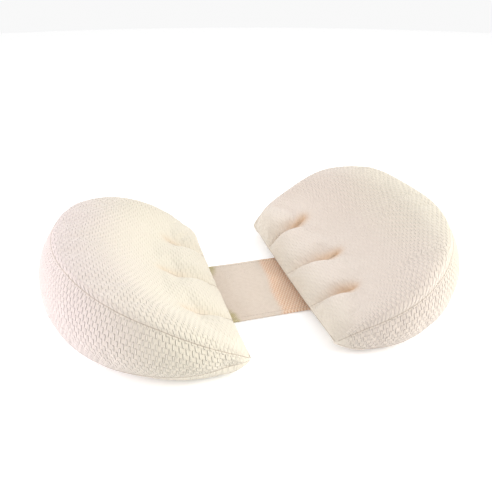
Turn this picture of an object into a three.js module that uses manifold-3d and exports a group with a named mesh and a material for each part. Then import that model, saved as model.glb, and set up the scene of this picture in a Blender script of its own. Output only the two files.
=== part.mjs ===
// A nursing and side-sleeping support: two identical half-moon wedge cushions, each in a zipped
// three-panel cover, joined by a wide cloth band that holds to their bases with hook-and-loop.
// Millimetres, +Z up. The origin is on the floor, in the middle of the band. X runs from one
// cushion to the other and Y along their straight inner seams.

import * as THREE from "three";
import Module from "manifold-3d";
import { mergeVertices } from "three/addons/utils/BufferGeometryUtils.js";

const wasm = await Module();
wasm.setup();

// Cushion. Its own x runs outwards from the straight seam, and its y along that seam.
const STRAIGHT_SEAM = 340; // length of the straight inner seam
const SIDE_SWELL = 15; // how far the round outline swells past each end of that seam
const DEPTH = 208; // from the straight seam to the round outline, without the bulge
const GUSSET_BULGE = 25; // how far the side wall swells past the outline
const RIM_HEIGHT = 125; // of the seam round the top panel, halfway along it
const RIM_CROWN = 8; // how far the top panel rises above that seam
const CORNER_HEIGHT = 18; // of the two corners, where all the seams meet
const STRAIGHT_HEIGHT = 12; // of the straight seam, halfway along it
const BASE_SEAM_HEIGHT = 9; // of the seam round the base, halfway along it
const EDGE_PUFF = 27; // how far the filling lifts the top panel just inside the straight seam
const EDGE_ROUND = 27; // width of the round-over along the straight seam
const LOBE_HEIGHT = 16; // of the pads between the darts, over the darts
const DARTS = 3; // stitched tucks that run in from the straight seam
const BASE_ROUND = 34; // width of the rounded strip of base along the straight seam

// Layers of a cushion, from the outside in.
const COVER = 2.4; // quilted air-layer knit
const LINER = 0.8; // inner bag
const PLY_GAP = 0.4; // between one layer and the next
const SEAM_GAP = 0.6; // between two panels of one layer
const COVER_ENDS = 0.97; // share of the straight seam that the cover's panels reach
const FILL_ENDS = 0.9; // share that the inner bag and the filling reach
const COLUMNS = 20; // facets along each seam

// Connecting band.
const CUSHION_GAP = 106; // between the two straight seams
const BAND_WIDTH = 150;
const BAND_PLY = 1.5; // face cloth, and backing cloth
const BAND_GAP = 0.3; // between plies, and between hook and loop
const BAND_CORNER = 8; // radius of the corners of the hidden ends
const FOLD_FROM_CENTRE = 25; // each of the band's two fold lines
const BAND_SHARE = 0.375; // of a cushion's depth, which the band reaches under
const HOOK_LENGTH = 40;
const HOOK_FROM_END = 3;
const TAPE_MARGIN = 6; // hook tape from the band's long edges
const TAPE = 1.2; // thickness of hook tape and loop tape
const ADJUST = 25; // how far the hook tape may be set, each way
const LOOP_MARGIN = 1; // loop tape past the hook tape's outermost settings

// Zip in the base of each cover.
const ZIP_SHARE = 0.7; // of the depth, from the straight seam to the zip
const ZIP_LENGTH = 180;
const ZIP_SLOT = 14;
const SLOT_GAP = 0.3;
const ZIP_TAPE = 0.8;
const COIL = 1.5; // width of one row of teeth
const COIL_HEIGHT = 1.3;
const COIL_PARTING = 1.2; // between the two rows
const CHANNEL = 18; // width of the sunk strip of base that the zip lies in
const CHANNEL_SIDE = 6; // width of each slope of that strip
const SLIDER_LENGTH = 9;
const SLIDER_WIDTH = 8;
const SLIDER_PLATE = 1.1;
const SLIDER_POST = 0.6;
const SLIDER_CLEARANCE = 0.3;
const BAIL_HEIGHT = 2.7;
const BAIL = 0.8; // thickness of the bail that holds the pull
const BAIL_WIDTH = 1.6;
const PULL_LENGTH = 24;
const PULL_WIDTH = 7;
const PULL = 1.2; // thickness
const STOP = 2.2; // length of each stop

// Worked out from the values above.
const WIDEST = STRAIGHT_SEAM + 2 * SIDE_SWELL;
const ZIP_AT = DEPTH * ZIP_SHARE;
const BAND_END = DEPTH * BAND_SHARE;
const columnStep = (2 * STRAIGHT_SEAM) / COLUMNS; // widest spacing of the base's facets
const bandTop = 2 * BAND_PLY + BAND_GAP;
const hookFloor = bandTop + BAND_GAP;
const loopFloor = hookFloor + TAPE + BAND_GAP;
const recessHeight = loopFloor + TAPE + 0.7;
const foldHeight = bandTop / 2;
const foldSlack = foldHeight + 0.25; // bare cloth on each side of a fold line
const hookStart = BAND_END - HOOK_FROM_END - HOOK_LENGTH;
const loopStart = hookStart - ADJUST - LOOP_MARGIN;
const loopEnd = hookStart + HOOK_LENGTH + ADJUST + LOOP_MARGIN;
const recessEnd = BAND_END + ADJUST + 5;
const coilFloor = 5.4;
const tapeFloor = coilFloor + COIL_HEIGHT + SLOT_GAP;
const channelHeight = tapeFloor;
const zipSide = CHANNEL / 2 + CHANNEL_SIDE;

// The outline is an ellipse cut by the straight seam.
const squeeze = Math.sqrt(1 - (STRAIGHT_SEAM / WIDEST) ** 2);
const reach = DEPTH / (1 + squeeze);
const centre = squeeze * reach;
const cornerAngle = Math.acos(-squeeze);

const COLOURS = {
  knit: new THREE.Color(0.93, 0.89, 0.82),
  liner: new THREE.Color(0.95, 0.95, 0.94),
  fibre: new THREE.Color(0.97, 0.97, 0.96),
  band: new THREE.Color(0.86, 0.79, 0.72),
  hook: new THREE.Color(0.83, 0.77, 0.7),
  zip: new THREE.Color(0.9, 0.87, 0.82),
  metal: new THREE.Color(0.78, 0.78, 0.76),
};
const FINISHES = {
  knit: new THREE.MeshStandardMaterial({ color: COLOURS.knit, roughness: 0.95 }),
  liner: new THREE.MeshStandardMaterial({ color: COLOURS.liner, roughness: 0.9 }),
  fibre: new THREE.MeshStandardMaterial({ color: COLOURS.fibre, roughness: 1 }),
  band: new THREE.MeshStandardMaterial({ color: COLOURS.band, roughness: 0.9 }),
  hook: new THREE.MeshStandardMaterial({ color: COLOURS.hook, roughness: 0.8 }),
  zip: new THREE.MeshStandardMaterial({ color: COLOURS.zip, roughness: 0.6 }),
  metal: new THREE.MeshStandardMaterial({ color: COLOURS.metal, roughness: 0.35, metalness: 0.9 }),
};

const clamp01 = (value) => Math.min(1, Math.max(0, value));
const smooth = (value) => clamp01(value) ** 2 * (3 - 2 * clamp01(value));
const mix = (from, to, share) => from + (to - from) * share;

// ---------------------------------------------------------------- cushion surface
// e runs along the straight seam from -1 to 1, one corner to the other. At each e a section
// crosses the cushion: the top panel from the straight seam (u = 0) to the rim (u = 1), the
// gusset from the base seam (v = 0) to the rim (v = 1), and the base by its distance w.

function outlinePoint(e) {
  const angle = e * cornerAngle;
  const x = centre + reach * Math.cos(angle);
  const y = (WIDEST / 2) * Math.sin(angle);
  const outwards = new THREE.Vector3(Math.cos(angle) / reach, Math.sin(angle) / (WIDEST / 2), 0);
  return { x, y, outwards: outwards.normalize() };
}

const swell = (e) => 1 - Math.abs(e) ** 2.3; // 1 halfway along the seams and 0 at the corners
const rimHeight = (e) => mix(CORNER_HEIGHT, RIM_HEIGHT, swell(e));
const straightHeight = (e) => mix(STRAIGHT_HEIGHT, CORNER_HEIGHT, e * e);
const baseSeamHeight = (e) => mix(BASE_SEAM_HEIGHT, CORNER_HEIGHT - 1, e ** 4);

function topPoint(e, u) {
  const rim = outlinePoint(e);
  const seamY = (STRAIGHT_SEAM / 2) * e;
  const across = Math.hypot(rim.x, rim.y - seamY);
  const roundOver = Math.sqrt(1 - (1 - clamp01((u * across) / EDGE_ROUND)) ** 2);
  const lobe = Math.abs(Math.sin(((DARTS + 1) / 2) * Math.PI * e)) ** 0.7;
  const pads = LOBE_HEIGHT * lobe * (1 - smooth((u - 0.1) / 0.4));
  const puff = EDGE_PUFF * (1 - smooth(u / 0.75)) + pads;
  const crown = RIM_CROWN * Math.sin(Math.PI * smooth((u - 0.5) / 0.5));
  const slope = mix(straightHeight(e), rimHeight(e), u ** 1.9);
  const cornerFade = smooth((1 - Math.abs(e)) / 0.35);
  const z = slope + (crown + puff * roundOver) * cornerFade;
  return new THREE.Vector3(rim.x * u, mix(seamY, rim.y, u), z);
}

function gussetPoint(e, v) {
  const rim = outlinePoint(e);
  const bulge = GUSSET_BULGE * Math.sin(Math.PI * v ** 0.9) * swell(e);
  const z = mix(baseSeamHeight(e), rimHeight(e), v);
  return new THREE.Vector3(rim.x, rim.y, z).addScaledVector(rim.outwards, bulge);
}

// Where the base is lifted: over the end of the band, and over the zip.
function baseLift(x, y) {
  const fade = (past) => 1 - smooth((past - columnStep) / 28);
  const pastBand = (x - recessEnd) / (ZIP_AT - zipSide - recessEnd);
  const overBand = recessHeight * (1 - smooth(pastBand)) * fade(Math.abs(y) - BAND_WIDTH / 2);
  const besideZip = Math.abs(x - ZIP_AT) - CHANNEL / 2;
  const overZip = channelHeight * clamp01(1 - besideZip / CHANNEL_SIDE) * fade(Math.abs(y) - ZIP_LENGTH / 2);
  return Math.max(overBand, overZip);
}

// The base's lines across x are straight as far as the zip's outer side, where there is room.
function basePoint(e, x) {
  const rim = outlinePoint(e);
  const straight = ZIP_AT + zipSide;
  const room = Math.min(1, rim.x / (straight + 15));
  const atX = x < straight ? x * room : mix(straight * room, rim.x, (x - straight) / (DEPTH - straight));
  const share = atX / rim.x;
  const at = new THREE.Vector3(atX, mix((STRAIGHT_SEAM / 2) * e, rim.y, share), 0);
  const across = Math.hypot(rim.x, rim.y - (STRAIGHT_SEAM / 2) * e);
  const width = Math.min(BASE_ROUND, 0.5 * across);
  const atSeam = straightHeight(e) * (1 - clamp01((share * across) / width)) ** 2;
  const atRim = baseSeamHeight(e) * (1 - clamp01(((1 - share) * across) / width)) ** 2;
  at.z = Math.max(atSeam, atRim, baseLift(at.x, at.y));
  return at;
}

const eSteps = Array.from({ length: COLUMNS + 1 }, (_, i) => {
  const e = (2 * i) / COLUMNS - 1;
  return Math.sign(e) * Math.min(Math.abs(e), COVER_ENDS);
});
const uSteps = [0, 0.05, 0.13, 0.25, 0.42, 0.6, 0.78, 0.91, 1];
const vSteps = [1, 0.78, 0.5, 0.22, 0];
const xSteps = [0, 12, BASE_ROUND, recessEnd, ZIP_AT - zipSide, ZIP_AT - CHANNEL / 2,
  ZIP_AT + CHANNEL / 2, ZIP_AT + zipSide, DEPTH - BASE_ROUND, DEPTH - BASE_ROUND / 2.5, DEPTH];

const grid = (rows, point) => rows.map((row) => eSteps.map((e) => point(e, row)));
const surface = {
  top: grid(uSteps, topPoint),
  gusset: grid(vSteps, gussetPoint),
  base: grid(xSteps, basePoint),
};
// Rows of the sheet that turns from the top panel down the gusset.
surface.shell = [...surface.top, ...surface.gusset.slice(1)];

// The way out of the whole closed surface at each of its points, long enough that a step along
// it moves every face beside the point by at least one.
const keyOf = (point) => point.toArray().map((value) => value.toFixed(2)).join();
const facings = new Map();
function addFacings(rows, turn) {
  for (let i = 0; i + 1 < rows.length; i += 1) {
    for (let j = 0; j + 1 < rows[i].length; j += 1) {
      const corners = [rows[i][j], rows[i + 1][j], rows[i + 1][j + 1], rows[i][j + 1]];
      const across = corners[2].clone().sub(corners[0]);
      const facing = across.cross(corners[3].clone().sub(corners[1])).multiplyScalar(turn).normalize();
      for (const corner of corners) {
        const key = keyOf(corner);
        facings.set(key, [...(facings.get(key) ?? []), facing]);
      }
    }
  }
}
addFacings(surface.shell, 1);
addFacings(surface.base, -1);
const wayOut = new Map();
for (const [key, beside] of facings) {
  const mean = beside.reduce((sum, facing) => sum.add(facing), new THREE.Vector3()).normalize();
  const least = Math.min(...beside.map((facing) => facing.dot(mean)));
  wayOut.set(key, mean.divideScalar(Math.max(0.5, least)));
}

// Rows that follow the given ones inside the cushion, under so much cloth and so many gaps. The
// cloth thins towards the corners. The first and last rows stop short of their seams.
function layer(rows, clothDepth, gaps, ends) {
  const kept = eSteps.map((_, j) => j).filter((j) => Math.abs(eSteps[j]) <= ends + 1e-6);
  const sunk = rows.map((row) => kept.map((j) => {
    const taper = Math.min(1, Math.max(0.35, (1 - Math.abs(eSteps[j])) / 0.25));
    const depth = clothDepth * taper + gaps * PLY_GAP;
    return row[j].clone().addScaledVector(wayOut.get(keyOf(row[j])), -depth);
  }));
  const moved = sunk.map((row) => row.map((point) => point.clone()));
  for (const [edge, next] of [[0, 1], [rows.length - 1, rows.length - 2]]) {
    kept.forEach((j, k) => {
      const along = sunk[next][k].clone().sub(sunk[edge][k]).normalize();
      const seam = wayOut.get(keyOf(rows[edge][j])).clone().normalize();
      const share = Math.max(0.35, along.clone().cross(seam).length());
      moved[edge][k].addScaledVector(along, SEAM_GAP / 2 / share);
    });
  }
  return { sunk, moved };
}

// ---------------------------------------------------------------- closed meshes

class Triangles {
  points = [];

  quad(a, b, c, d) {
    this.points.push(a, b, c, a, c, d);
  }

  triangle(a, b, c) {
    this.points.push(a, b, c);
  }

  geometry() {
    let volume = 0;
    for (let i = 0; i < this.points.length; i += 3) {
      volume += this.points[i].dot(this.points[i + 1].clone().cross(this.points[i + 2]));
    }
    if (volume < 0) this.points.reverse();
    return new THREE.BufferGeometry().setFromPoints(this.points);
  }
}

// A sheet between two grids of the same size, closed along its four edges.
function sheet(outside, inside) {
  const made = new Triangles();
  const lastRow = outside.length - 1;
  const lastColumn = outside[0].length - 1;
  for (let i = 0; i < lastRow; i += 1) {
    for (let j = 0; j < lastColumn; j += 1) {
      made.quad(outside[i][j], outside[i + 1][j], outside[i + 1][j + 1], outside[i][j + 1]);
      made.quad(inside[i][j], inside[i][j + 1], inside[i + 1][j + 1], inside[i + 1][j]);
    }
    made.quad(outside[i][0], inside[i][0], inside[i + 1][0], outside[i + 1][0]);
    made.quad(outside[i + 1][lastColumn], inside[i + 1][lastColumn], inside[i][lastColumn], outside[i][lastColumn]);
  }
  for (let j = 0; j < lastColumn; j += 1) {
    made.quad(outside[0][j], outside[0][j + 1], inside[0][j + 1], inside[0][j]);
    made.quad(outside[lastRow][j], inside[lastRow][j], inside[lastRow][j + 1], outside[lastRow][j + 1]);
  }
  return made.geometry();
}

// A solid between two grids that share their first and last rows, with a cap at each end.
function filled(over, under) {
  const made = new Triangles();
  const skin = (rows, flip) => {
    for (let i = 0; i + 1 < rows.length; i += 1) {
      for (let j = 0; j + 1 < rows[i].length; j += 1) {
        const corners = [rows[i][j], rows[i + 1][j], rows[i + 1][j + 1], rows[i][j + 1]];
        if (flip) made.quad(corners[0], corners[3], corners[2], corners[1]);
        else made.quad(...corners);
      }
    }
  };
  skin(over, false);
  skin(under, true);
  for (const end of [0, over[0].length - 1]) {
    const loop = [...over, ...under.slice(1, -1).reverse()].map((row) => row[end]);
    const middle = loop.reduce((sum, point) => sum.add(point), new THREE.Vector3());
    middle.divideScalar(loop.length);
    loop.forEach((point, k) => {
      const next = loop[(k + 1) % loop.length];
      if (end === 0) made.triangle(middle, next, point);
      else made.triangle(middle, point, next);
    });
  }
  return made.geometry();
}

// A three.js geometry as a manifold-3d solid, and back.
function solid(geometry) {
  const bare = geometry.clone();
  bare.deleteAttribute("normal");
  bare.deleteAttribute("uv");
  const merged = mergeVertices(bare, 1e-3);
  const vertProperties = new Float32Array(merged.attributes.position.array);
  const triVerts = new Uint32Array(merged.index.array);
  return new wasm.Manifold(new wasm.Mesh({ numProp: 3, vertProperties, triVerts }));
}

function geometryOf(manifold) {
  const mesh = manifold.getMesh();
  const made = new THREE.BufferGeometry();
  made.setAttribute("position", new THREE.BufferAttribute(new Float32Array(mesh.vertProperties), 3));
  made.setIndex(new THREE.BufferAttribute(new Uint32Array(mesh.triVerts), 1));
  return made;
}

const join = (...geometries) => geometryOf(geometries.map(solid).reduce((all, next) => all.add(next)));
const cut = (body, tool) => geometryOf(solid(body).subtract(solid(tool)));

// A box from its lowest corner to its highest.
function block([x0, y0, z0], [x1, y1, z1]) {
  return new THREE.BoxGeometry(x1 - x0, y1 - y0, z1 - z0)
    .translate((x0 + x1) / 2, (y0 + y1) / 2, (z0 + z1) / 2);
}

// A flat piece of cloth or tape whose corners at x1 are round, from z0 up.
function cloth(x0, x1, width, z0, thickness) {
  const half = width / 2;
  const outline = new THREE.Shape();
  outline.moveTo(x0, -half);
  outline.lineTo(x1 - BAND_CORNER, -half);
  outline.absarc(x1 - BAND_CORNER, -half + BAND_CORNER, BAND_CORNER, -Math.PI / 2, 0);
  outline.absarc(x1 - BAND_CORNER, half - BAND_CORNER, BAND_CORNER, 0, Math.PI / 2);
  outline.lineTo(x0, half);
  outline.closePath();
  return new THREE.ExtrudeGeometry(outline, { depth: thickness, bevelEnabled: false, curveSegments: 4 })
    .translate(0, 0, z0);
}

function part(name, geometry, finish) {
  const mesh = new THREE.Mesh(geometry, FINISHES[finish]);
  mesh.name = name;
  return mesh;
}

// ---------------------------------------------------------------- cushion pieces

const panel = (rows) => sheet(layer(rows, 0, 0, COVER_ENDS).moved, layer(rows, COVER, 0, COVER_ENDS).moved);

const linerSheet = (rows) => sheet(
  layer(rows, COVER, 1, FILL_ENDS).moved,
  layer(rows, COVER + LINER, 1, FILL_ENDS).moved,
);

function filling() {
  const skin = (rows) => layer(rows, COVER + LINER, 2, FILL_ENDS).sunk;
  return filled(skin(surface.shell), skin(surface.base));
}

function cover(side) {
  const slotReach = ZIP_LENGTH / 2 + STOP;
  const slot = block(
    [ZIP_AT - ZIP_SLOT / 2, -slotReach, coilFloor],
    [ZIP_AT + ZIP_SLOT / 2, slotReach, channelHeight + COVER + 1],
  );
  return [
    part(`cover_top_${side}`, panel(surface.top), "knit"),
    part(`cover_gusset_${side}`, panel(surface.gusset), "knit"),
    part(`cover_base_${side}`, cut(panel(surface.base), slot), "knit"),
  ];
}

function innerCushion(side) {
  return [
    part(`liner_top_${side}`, linerSheet(surface.shell), "liner"),
    part(`liner_base_${side}`, linerSheet(surface.base), "liner"),
    part(`fill_${side}`, filling(), "fibre"),
  ];
}

function loopPatch(side) {
  const width = BAND_WIDTH - 2 * TAPE_MARGIN;
  return part(`loop_patch_${side}`, cloth(loopStart, loopEnd, width, loopFloor, TAPE), "hook");
}

// ---------------------------------------------------------------- zip pieces

function zipHalf(side, label, away) {
  const half = ZIP_LENGTH / 2;
  const from = COIL_PARTING / 2;
  const span = (near, far) => [ZIP_AT + away * near, ZIP_AT + away * far].sort((a, b) => a - b);
  const [tape0, tape1] = span(from + COIL / 3, ZIP_SLOT / 2 - SLOT_GAP);
  const [coil0, coil1] = span(from, from + COIL);
  const stopFloor = coilFloor;
  const stopTop = coilFloor + COIL_HEIGHT;
  return [
    part(`zip_tape_${label}_${side}`,
      block([tape0, -half, tapeFloor], [tape1, half, tapeFloor + ZIP_TAPE]), "zip"),
    part(`zip_teeth_${label}_${side}`,
      block([coil0, -half + STOP + SLOT_GAP, coilFloor], [coil1, half - STOP - SLOT_GAP, stopTop]), "zip"),
    part(`zip_top_stop_${label}_${side}`,
      block([coil0, half - STOP, stopFloor], [coil1, half, stopTop]), "metal"),
  ];
}

function zipBottomStop(side) {
  const reachOut = COIL_PARTING / 2 + COIL;
  const half = ZIP_LENGTH / 2;
  return part(`zip_bottom_stop_${side}`,
    block([ZIP_AT - reachOut, -half, coilFloor], [ZIP_AT + reachOut, -half + STOP, coilFloor + COIL_HEIGHT]),
    "metal");
}

const sliderAt = ZIP_LENGTH / 2 - STOP - SLOT_GAP - SLIDER_LENGTH / 2 - 1; // closed end of its travel
const sliderFloor = coilFloor - SLIDER_CLEARANCE - SLIDER_PLATE;
const sliderTop = tapeFloor + ZIP_TAPE + SLIDER_CLEARANCE;
const pullAxis = sliderFloor - 1;

// Two plates joined by a post between the rows of teeth, a flange each side, and a bail below.
function slider(side) {
  const near = sliderAt - SLIDER_LENGTH / 2;
  const far = sliderAt + SLIDER_LENGTH / 2;
  const wide = SLIDER_WIDTH / 2;
  const flange = COIL_PARTING / 2 + COIL + SLIDER_CLEARANCE;
  const lip = 0.9;
  const plate = (z) => block([ZIP_AT - wide, near, z], [ZIP_AT + wide, far, z + SLIDER_PLATE]);
  const rail = (x) => block([x, near, sliderFloor], [x + lip, far, tapeFloor - SLIDER_CLEARANCE]);
  const post = block(
    [ZIP_AT - SLIDER_POST / 2, far - 3, sliderFloor],
    [ZIP_AT + SLIDER_POST / 2, far - 0.5, sliderTop + SLIDER_PLATE],
  );
  const bailReach = 4;
  const bailFloor = sliderFloor - BAIL_HEIGHT;
  const bailX0 = ZIP_AT - BAIL_WIDTH / 2;
  const leg = (y) => block([bailX0, y, bailFloor], [bailX0 + BAIL_WIDTH, y + BAIL, sliderFloor + 0.2]);
  const bridge = block([bailX0, sliderAt - bailReach, bailFloor], [bailX0 + BAIL_WIDTH, sliderAt + bailReach, bailFloor + BAIL]);
  return part(`zip_slider_${side}`, join(
    plate(sliderFloor), plate(sliderTop), post,
    rail(ZIP_AT - flange - lip), rail(ZIP_AT + flange),
    leg(sliderAt - bailReach), leg(sliderAt + bailReach - BAIL), bridge,
  ), "metal");
}

// A flat tab with an eye, hung on the bail. It turns about the bar at the eye's near end.
const PULL_BAR_FROM_SLIDER = 1.8; // from the slider's middle to the bar's axis
function pull(side) {
  const half = PULL_WIDTH / 2;
  const bar = PULL / 2;
  const eye = { from: bar, to: 6.6, half: 1.4 };
  const outline = new THREE.Shape();
  outline.moveTo(-2.4, -bar);
  outline.lineTo(2.4, -bar);
  outline.lineTo(half, 7);
  outline.lineTo(half, PULL_LENGTH - half);
  outline.absarc(0, PULL_LENGTH - half, half, 0, Math.PI);
  outline.lineTo(-half, 7);
  outline.closePath();
  const hole = new THREE.Path();
  hole.moveTo(-eye.half, eye.from);
  hole.lineTo(-eye.half, eye.to);
  hole.lineTo(eye.half, eye.to);
  hole.lineTo(eye.half, eye.from);
  hole.closePath();
  outline.holes.push(hole);
  const plate = new THREE.ExtrudeGeometry(outline, { depth: PULL, bevelEnabled: false, curveSegments: 8 });
  plate.rotateZ(Math.PI).translate(ZIP_AT, sliderAt + PULL_BAR_FROM_SLIDER, pullAxis - PULL / 2);
  return part(`zip_pull_${side}`, plate, "metal");
}

function cushion(side) {
  const group = new THREE.Group();
  group.add(
    ...cover(side),
    ...innerCushion(side),
    loopPatch(side),
    ...zipHalf(side, "inner", -1),
    ...zipHalf(side, "outer", 1),
    zipBottomStop(side),
    slider(side),
    pull(side),
  );
  return group;
}

// ---------------------------------------------------------------- band pieces

function bandMiddle() {
  const half = FOLD_FROM_CENTRE - foldSlack;
  const ply = (z) => block([-half, -BAND_WIDTH / 2, z], [half, BAND_WIDTH / 2, z + BAND_PLY]);
  return [
    part("band_backing_middle", ply(0), "band"),
    part("band_face_middle", ply(BAND_PLY + BAND_GAP), "band"),
  ];
}

// One end of the band, from its fold line to its hidden end under a cushion.
function bandEnd(side) {
  const start = FOLD_FROM_CENTRE + foldSlack;
  const end = CUSHION_GAP / 2 + BAND_END;
  const hook = CUSHION_GAP / 2 + hookStart;
  const ply = (z) => cloth(start, end, BAND_WIDTH, z, BAND_PLY);
  const group = new THREE.Group();
  group.add(
    part(`band_backing_${side}`, ply(0), "band"),
    part(`band_face_${side}`, ply(BAND_PLY + BAND_GAP), "band"),
    part(`hook_patch_${side}`,
      cloth(hook, hook + HOOK_LENGTH, BAND_WIDTH - 2 * TAPE_MARGIN, hookFloor, TAPE), "hook"),
  );
  return group;
}

// ---------------------------------------------------------------- assembly
// The left half is the right half turned half a turn about Z: the two cushions are the same.

const pillow = new THREE.Group();
for (const [side, turn] of [["right", 0], ["left", Math.PI]]) {
  const half = new THREE.Group();
  const placed = cushion(side);
  placed.position.x = CUSHION_GAP / 2;
  half.add(placed, bandEnd(side));
  half.rotation.z = turn;
  pillow.add(half);
}
pillow.add(...bandMiddle());

export default pillow;
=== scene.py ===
"""A nursing pillow: two padded wedge cushions in quilted knit covers, joined by a wide cloth band.

Metres, +Z up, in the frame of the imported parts. The origin is on the floor under the middle of the
band, X runs from one cushion to the other, and Y runs along their straight inner seams.
"""

import logging
import math
from contextlib import contextmanager
from dataclasses import dataclass, field
from enum import Enum
from typing import Any, Iterable, Iterator, Sequence, Union

import bmesh
import bpy
import numpy as np
from mathutils import Matrix, Vector, noise
from mathutils.bvhtree import BVHTree


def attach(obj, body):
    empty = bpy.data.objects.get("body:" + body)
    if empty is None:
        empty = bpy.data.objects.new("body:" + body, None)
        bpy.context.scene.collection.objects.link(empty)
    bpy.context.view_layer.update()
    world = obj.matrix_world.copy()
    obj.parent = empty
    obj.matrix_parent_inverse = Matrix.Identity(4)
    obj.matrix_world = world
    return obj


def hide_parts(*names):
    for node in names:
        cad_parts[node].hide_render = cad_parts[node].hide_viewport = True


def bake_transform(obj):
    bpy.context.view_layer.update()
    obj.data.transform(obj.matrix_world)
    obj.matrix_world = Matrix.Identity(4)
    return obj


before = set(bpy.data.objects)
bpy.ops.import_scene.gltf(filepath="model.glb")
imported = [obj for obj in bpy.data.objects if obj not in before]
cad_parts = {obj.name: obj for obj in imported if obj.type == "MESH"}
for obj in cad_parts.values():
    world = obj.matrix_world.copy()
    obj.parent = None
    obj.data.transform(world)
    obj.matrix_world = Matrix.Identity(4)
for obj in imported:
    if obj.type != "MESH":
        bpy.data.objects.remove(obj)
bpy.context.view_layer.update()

LOG = logging.getLogger("nursing_pillow")
Colour = tuple[float, float, float]
Point = tuple[float, float, float]
WEAVE_MAP = "weave"  # UV map in metres of flat cloth
RELIEF = "relief"  # how strongly the knit's grains stand up
WARM_SHADE = "warm_shade"  # how strongly painted warm shade shows: in the knit's dart creases, and on the band beside a cushion, where painted warm reflected light shows too
OLIVE_SHADE = "olive_shade"  # how much painted shade with a yellow-green cast the band shows by the left cushion's corners
KNIT_CLOTH: dict[str, Any] = {  # how the knit gives way when it is filled
    "quality": 5,
    "mass": 0.25,
    "tension_stiffness": 25.0,
    "compression_stiffness": 20.0,
    "shear_stiffness": 8.0,
    "bending_stiffness": 0.8,
    "tension_damping": 12.0,
    "compression_damping": 12.0,
    "vertex_group_mass": "sewn",
    "pin_stiffness": 1.0,
    "shrink_min": -0.012,
    "use_pressure": True,
}


class Side(Enum):
    """Which half of the pillow a piece belongs to."""

    RIGHT = "right"
    LEFT = "left"

    @property
    def sign(self) -> int:
        """1 for the half at +X, -1 for the half at -X."""
        return 1 if self is Side.RIGHT else -1

    def turned(self, points: np.ndarray) -> np.ndarray:
        """Takes points of the right half to this half, which is that half turned about Z."""
        return points * np.array([self.sign, self.sign, 1.0])

    def at(self, x: float, y: float, z: float) -> Vector:
        """Gives where a point of the right half is in this half."""
        return Vector((self.sign * x, self.sign * y, z))


def smooth(value: np.ndarray) -> np.ndarray:
    """Eases from 0 to 1 as value goes from 0 to 1."""
    held = np.clip(value, 0.0, 1.0)
    return held * held * (3.0 - 2.0 * held)


def lumps(points: np.ndarray, scale: float, shift: tuple[float, float]) -> np.ndarray:
    """Gives soft lumps over a surface, the same each time.

    Args:
        points: where they are wanted.
        scale: how fine they are, for each metre.
        shift: where in the pattern to start, along x and y.

    Returns:
        A height from -1 to 1 for each point.
    """
    spots = [(scale * x + shift[0], scale * y + shift[1], scale * z) for x, y, z in points]
    return np.array([noise.noise(Vector(spot)) for spot in spots])


# ------------------------------------------------------------------ shader building


class Wire:
    """An output socket that adds Math nodes when it is used in an expression."""

    def __init__(self, book: "NodeBook", socket: bpy.types.NodeSocket) -> None:
        """Wraps a socket.

        Args:
            book: the node tree it belongs to.
            socket: the output socket.
        """
        self.book = book
        self.socket = socket

    def maths(self, operation: str, *values: "Number") -> "Wire":
        """Adds a Math node.

        Args:
            operation: the node's operation.
            values: its inputs, in order.

        Returns:
            Its output.
        """
        return self.book.node("ShaderNodeMath", {"operation": operation}, dict(enumerate(values)))

    def __add__(self, other: "Number") -> "Wire":
        """Adds."""
        return self.maths("ADD", self, other)

    def __radd__(self, other: "Number") -> "Wire":
        """Adds, with the number on the left."""
        return self.maths("ADD", other, self)

    def __sub__(self, other: "Number") -> "Wire":
        """Subtracts."""
        return self.maths("SUBTRACT", self, other)

    def __rsub__(self, other: "Number") -> "Wire":
        """Subtracts from a number."""
        return self.maths("SUBTRACT", other, self)

    def __mul__(self, other: "Number") -> "Wire":
        """Multiplies."""
        return self.maths("MULTIPLY", self, other)

    def __rmul__(self, other: "Number") -> "Wire":
        """Multiplies, with the number on the left."""
        return self.maths("MULTIPLY", other, self)

    def cos(self) -> "Wire":
        """Gives the cosine."""
        return self.maths("COSINE", self)

    def sin(self) -> "Wire":
        """Gives the sine."""
        return self.maths("SINE", self)

    def between(self, low: float, high: float) -> "Wire":
        """Eases from 0 at low to 1 at high.

        Args:
            low: the value that gives 0.
            high: the value that gives 1.

        Returns:
            The eased value.
        """
        return self.book.node(
            "ShaderNodeMapRange",
            {"interpolation_type": "SMOOTHSTEP"},
            {"Value": self, "From Min": low, "From Max": high, "To Min": 0.0, "To Max": 1.0},
        )


Number = Union[Wire, float]


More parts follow.
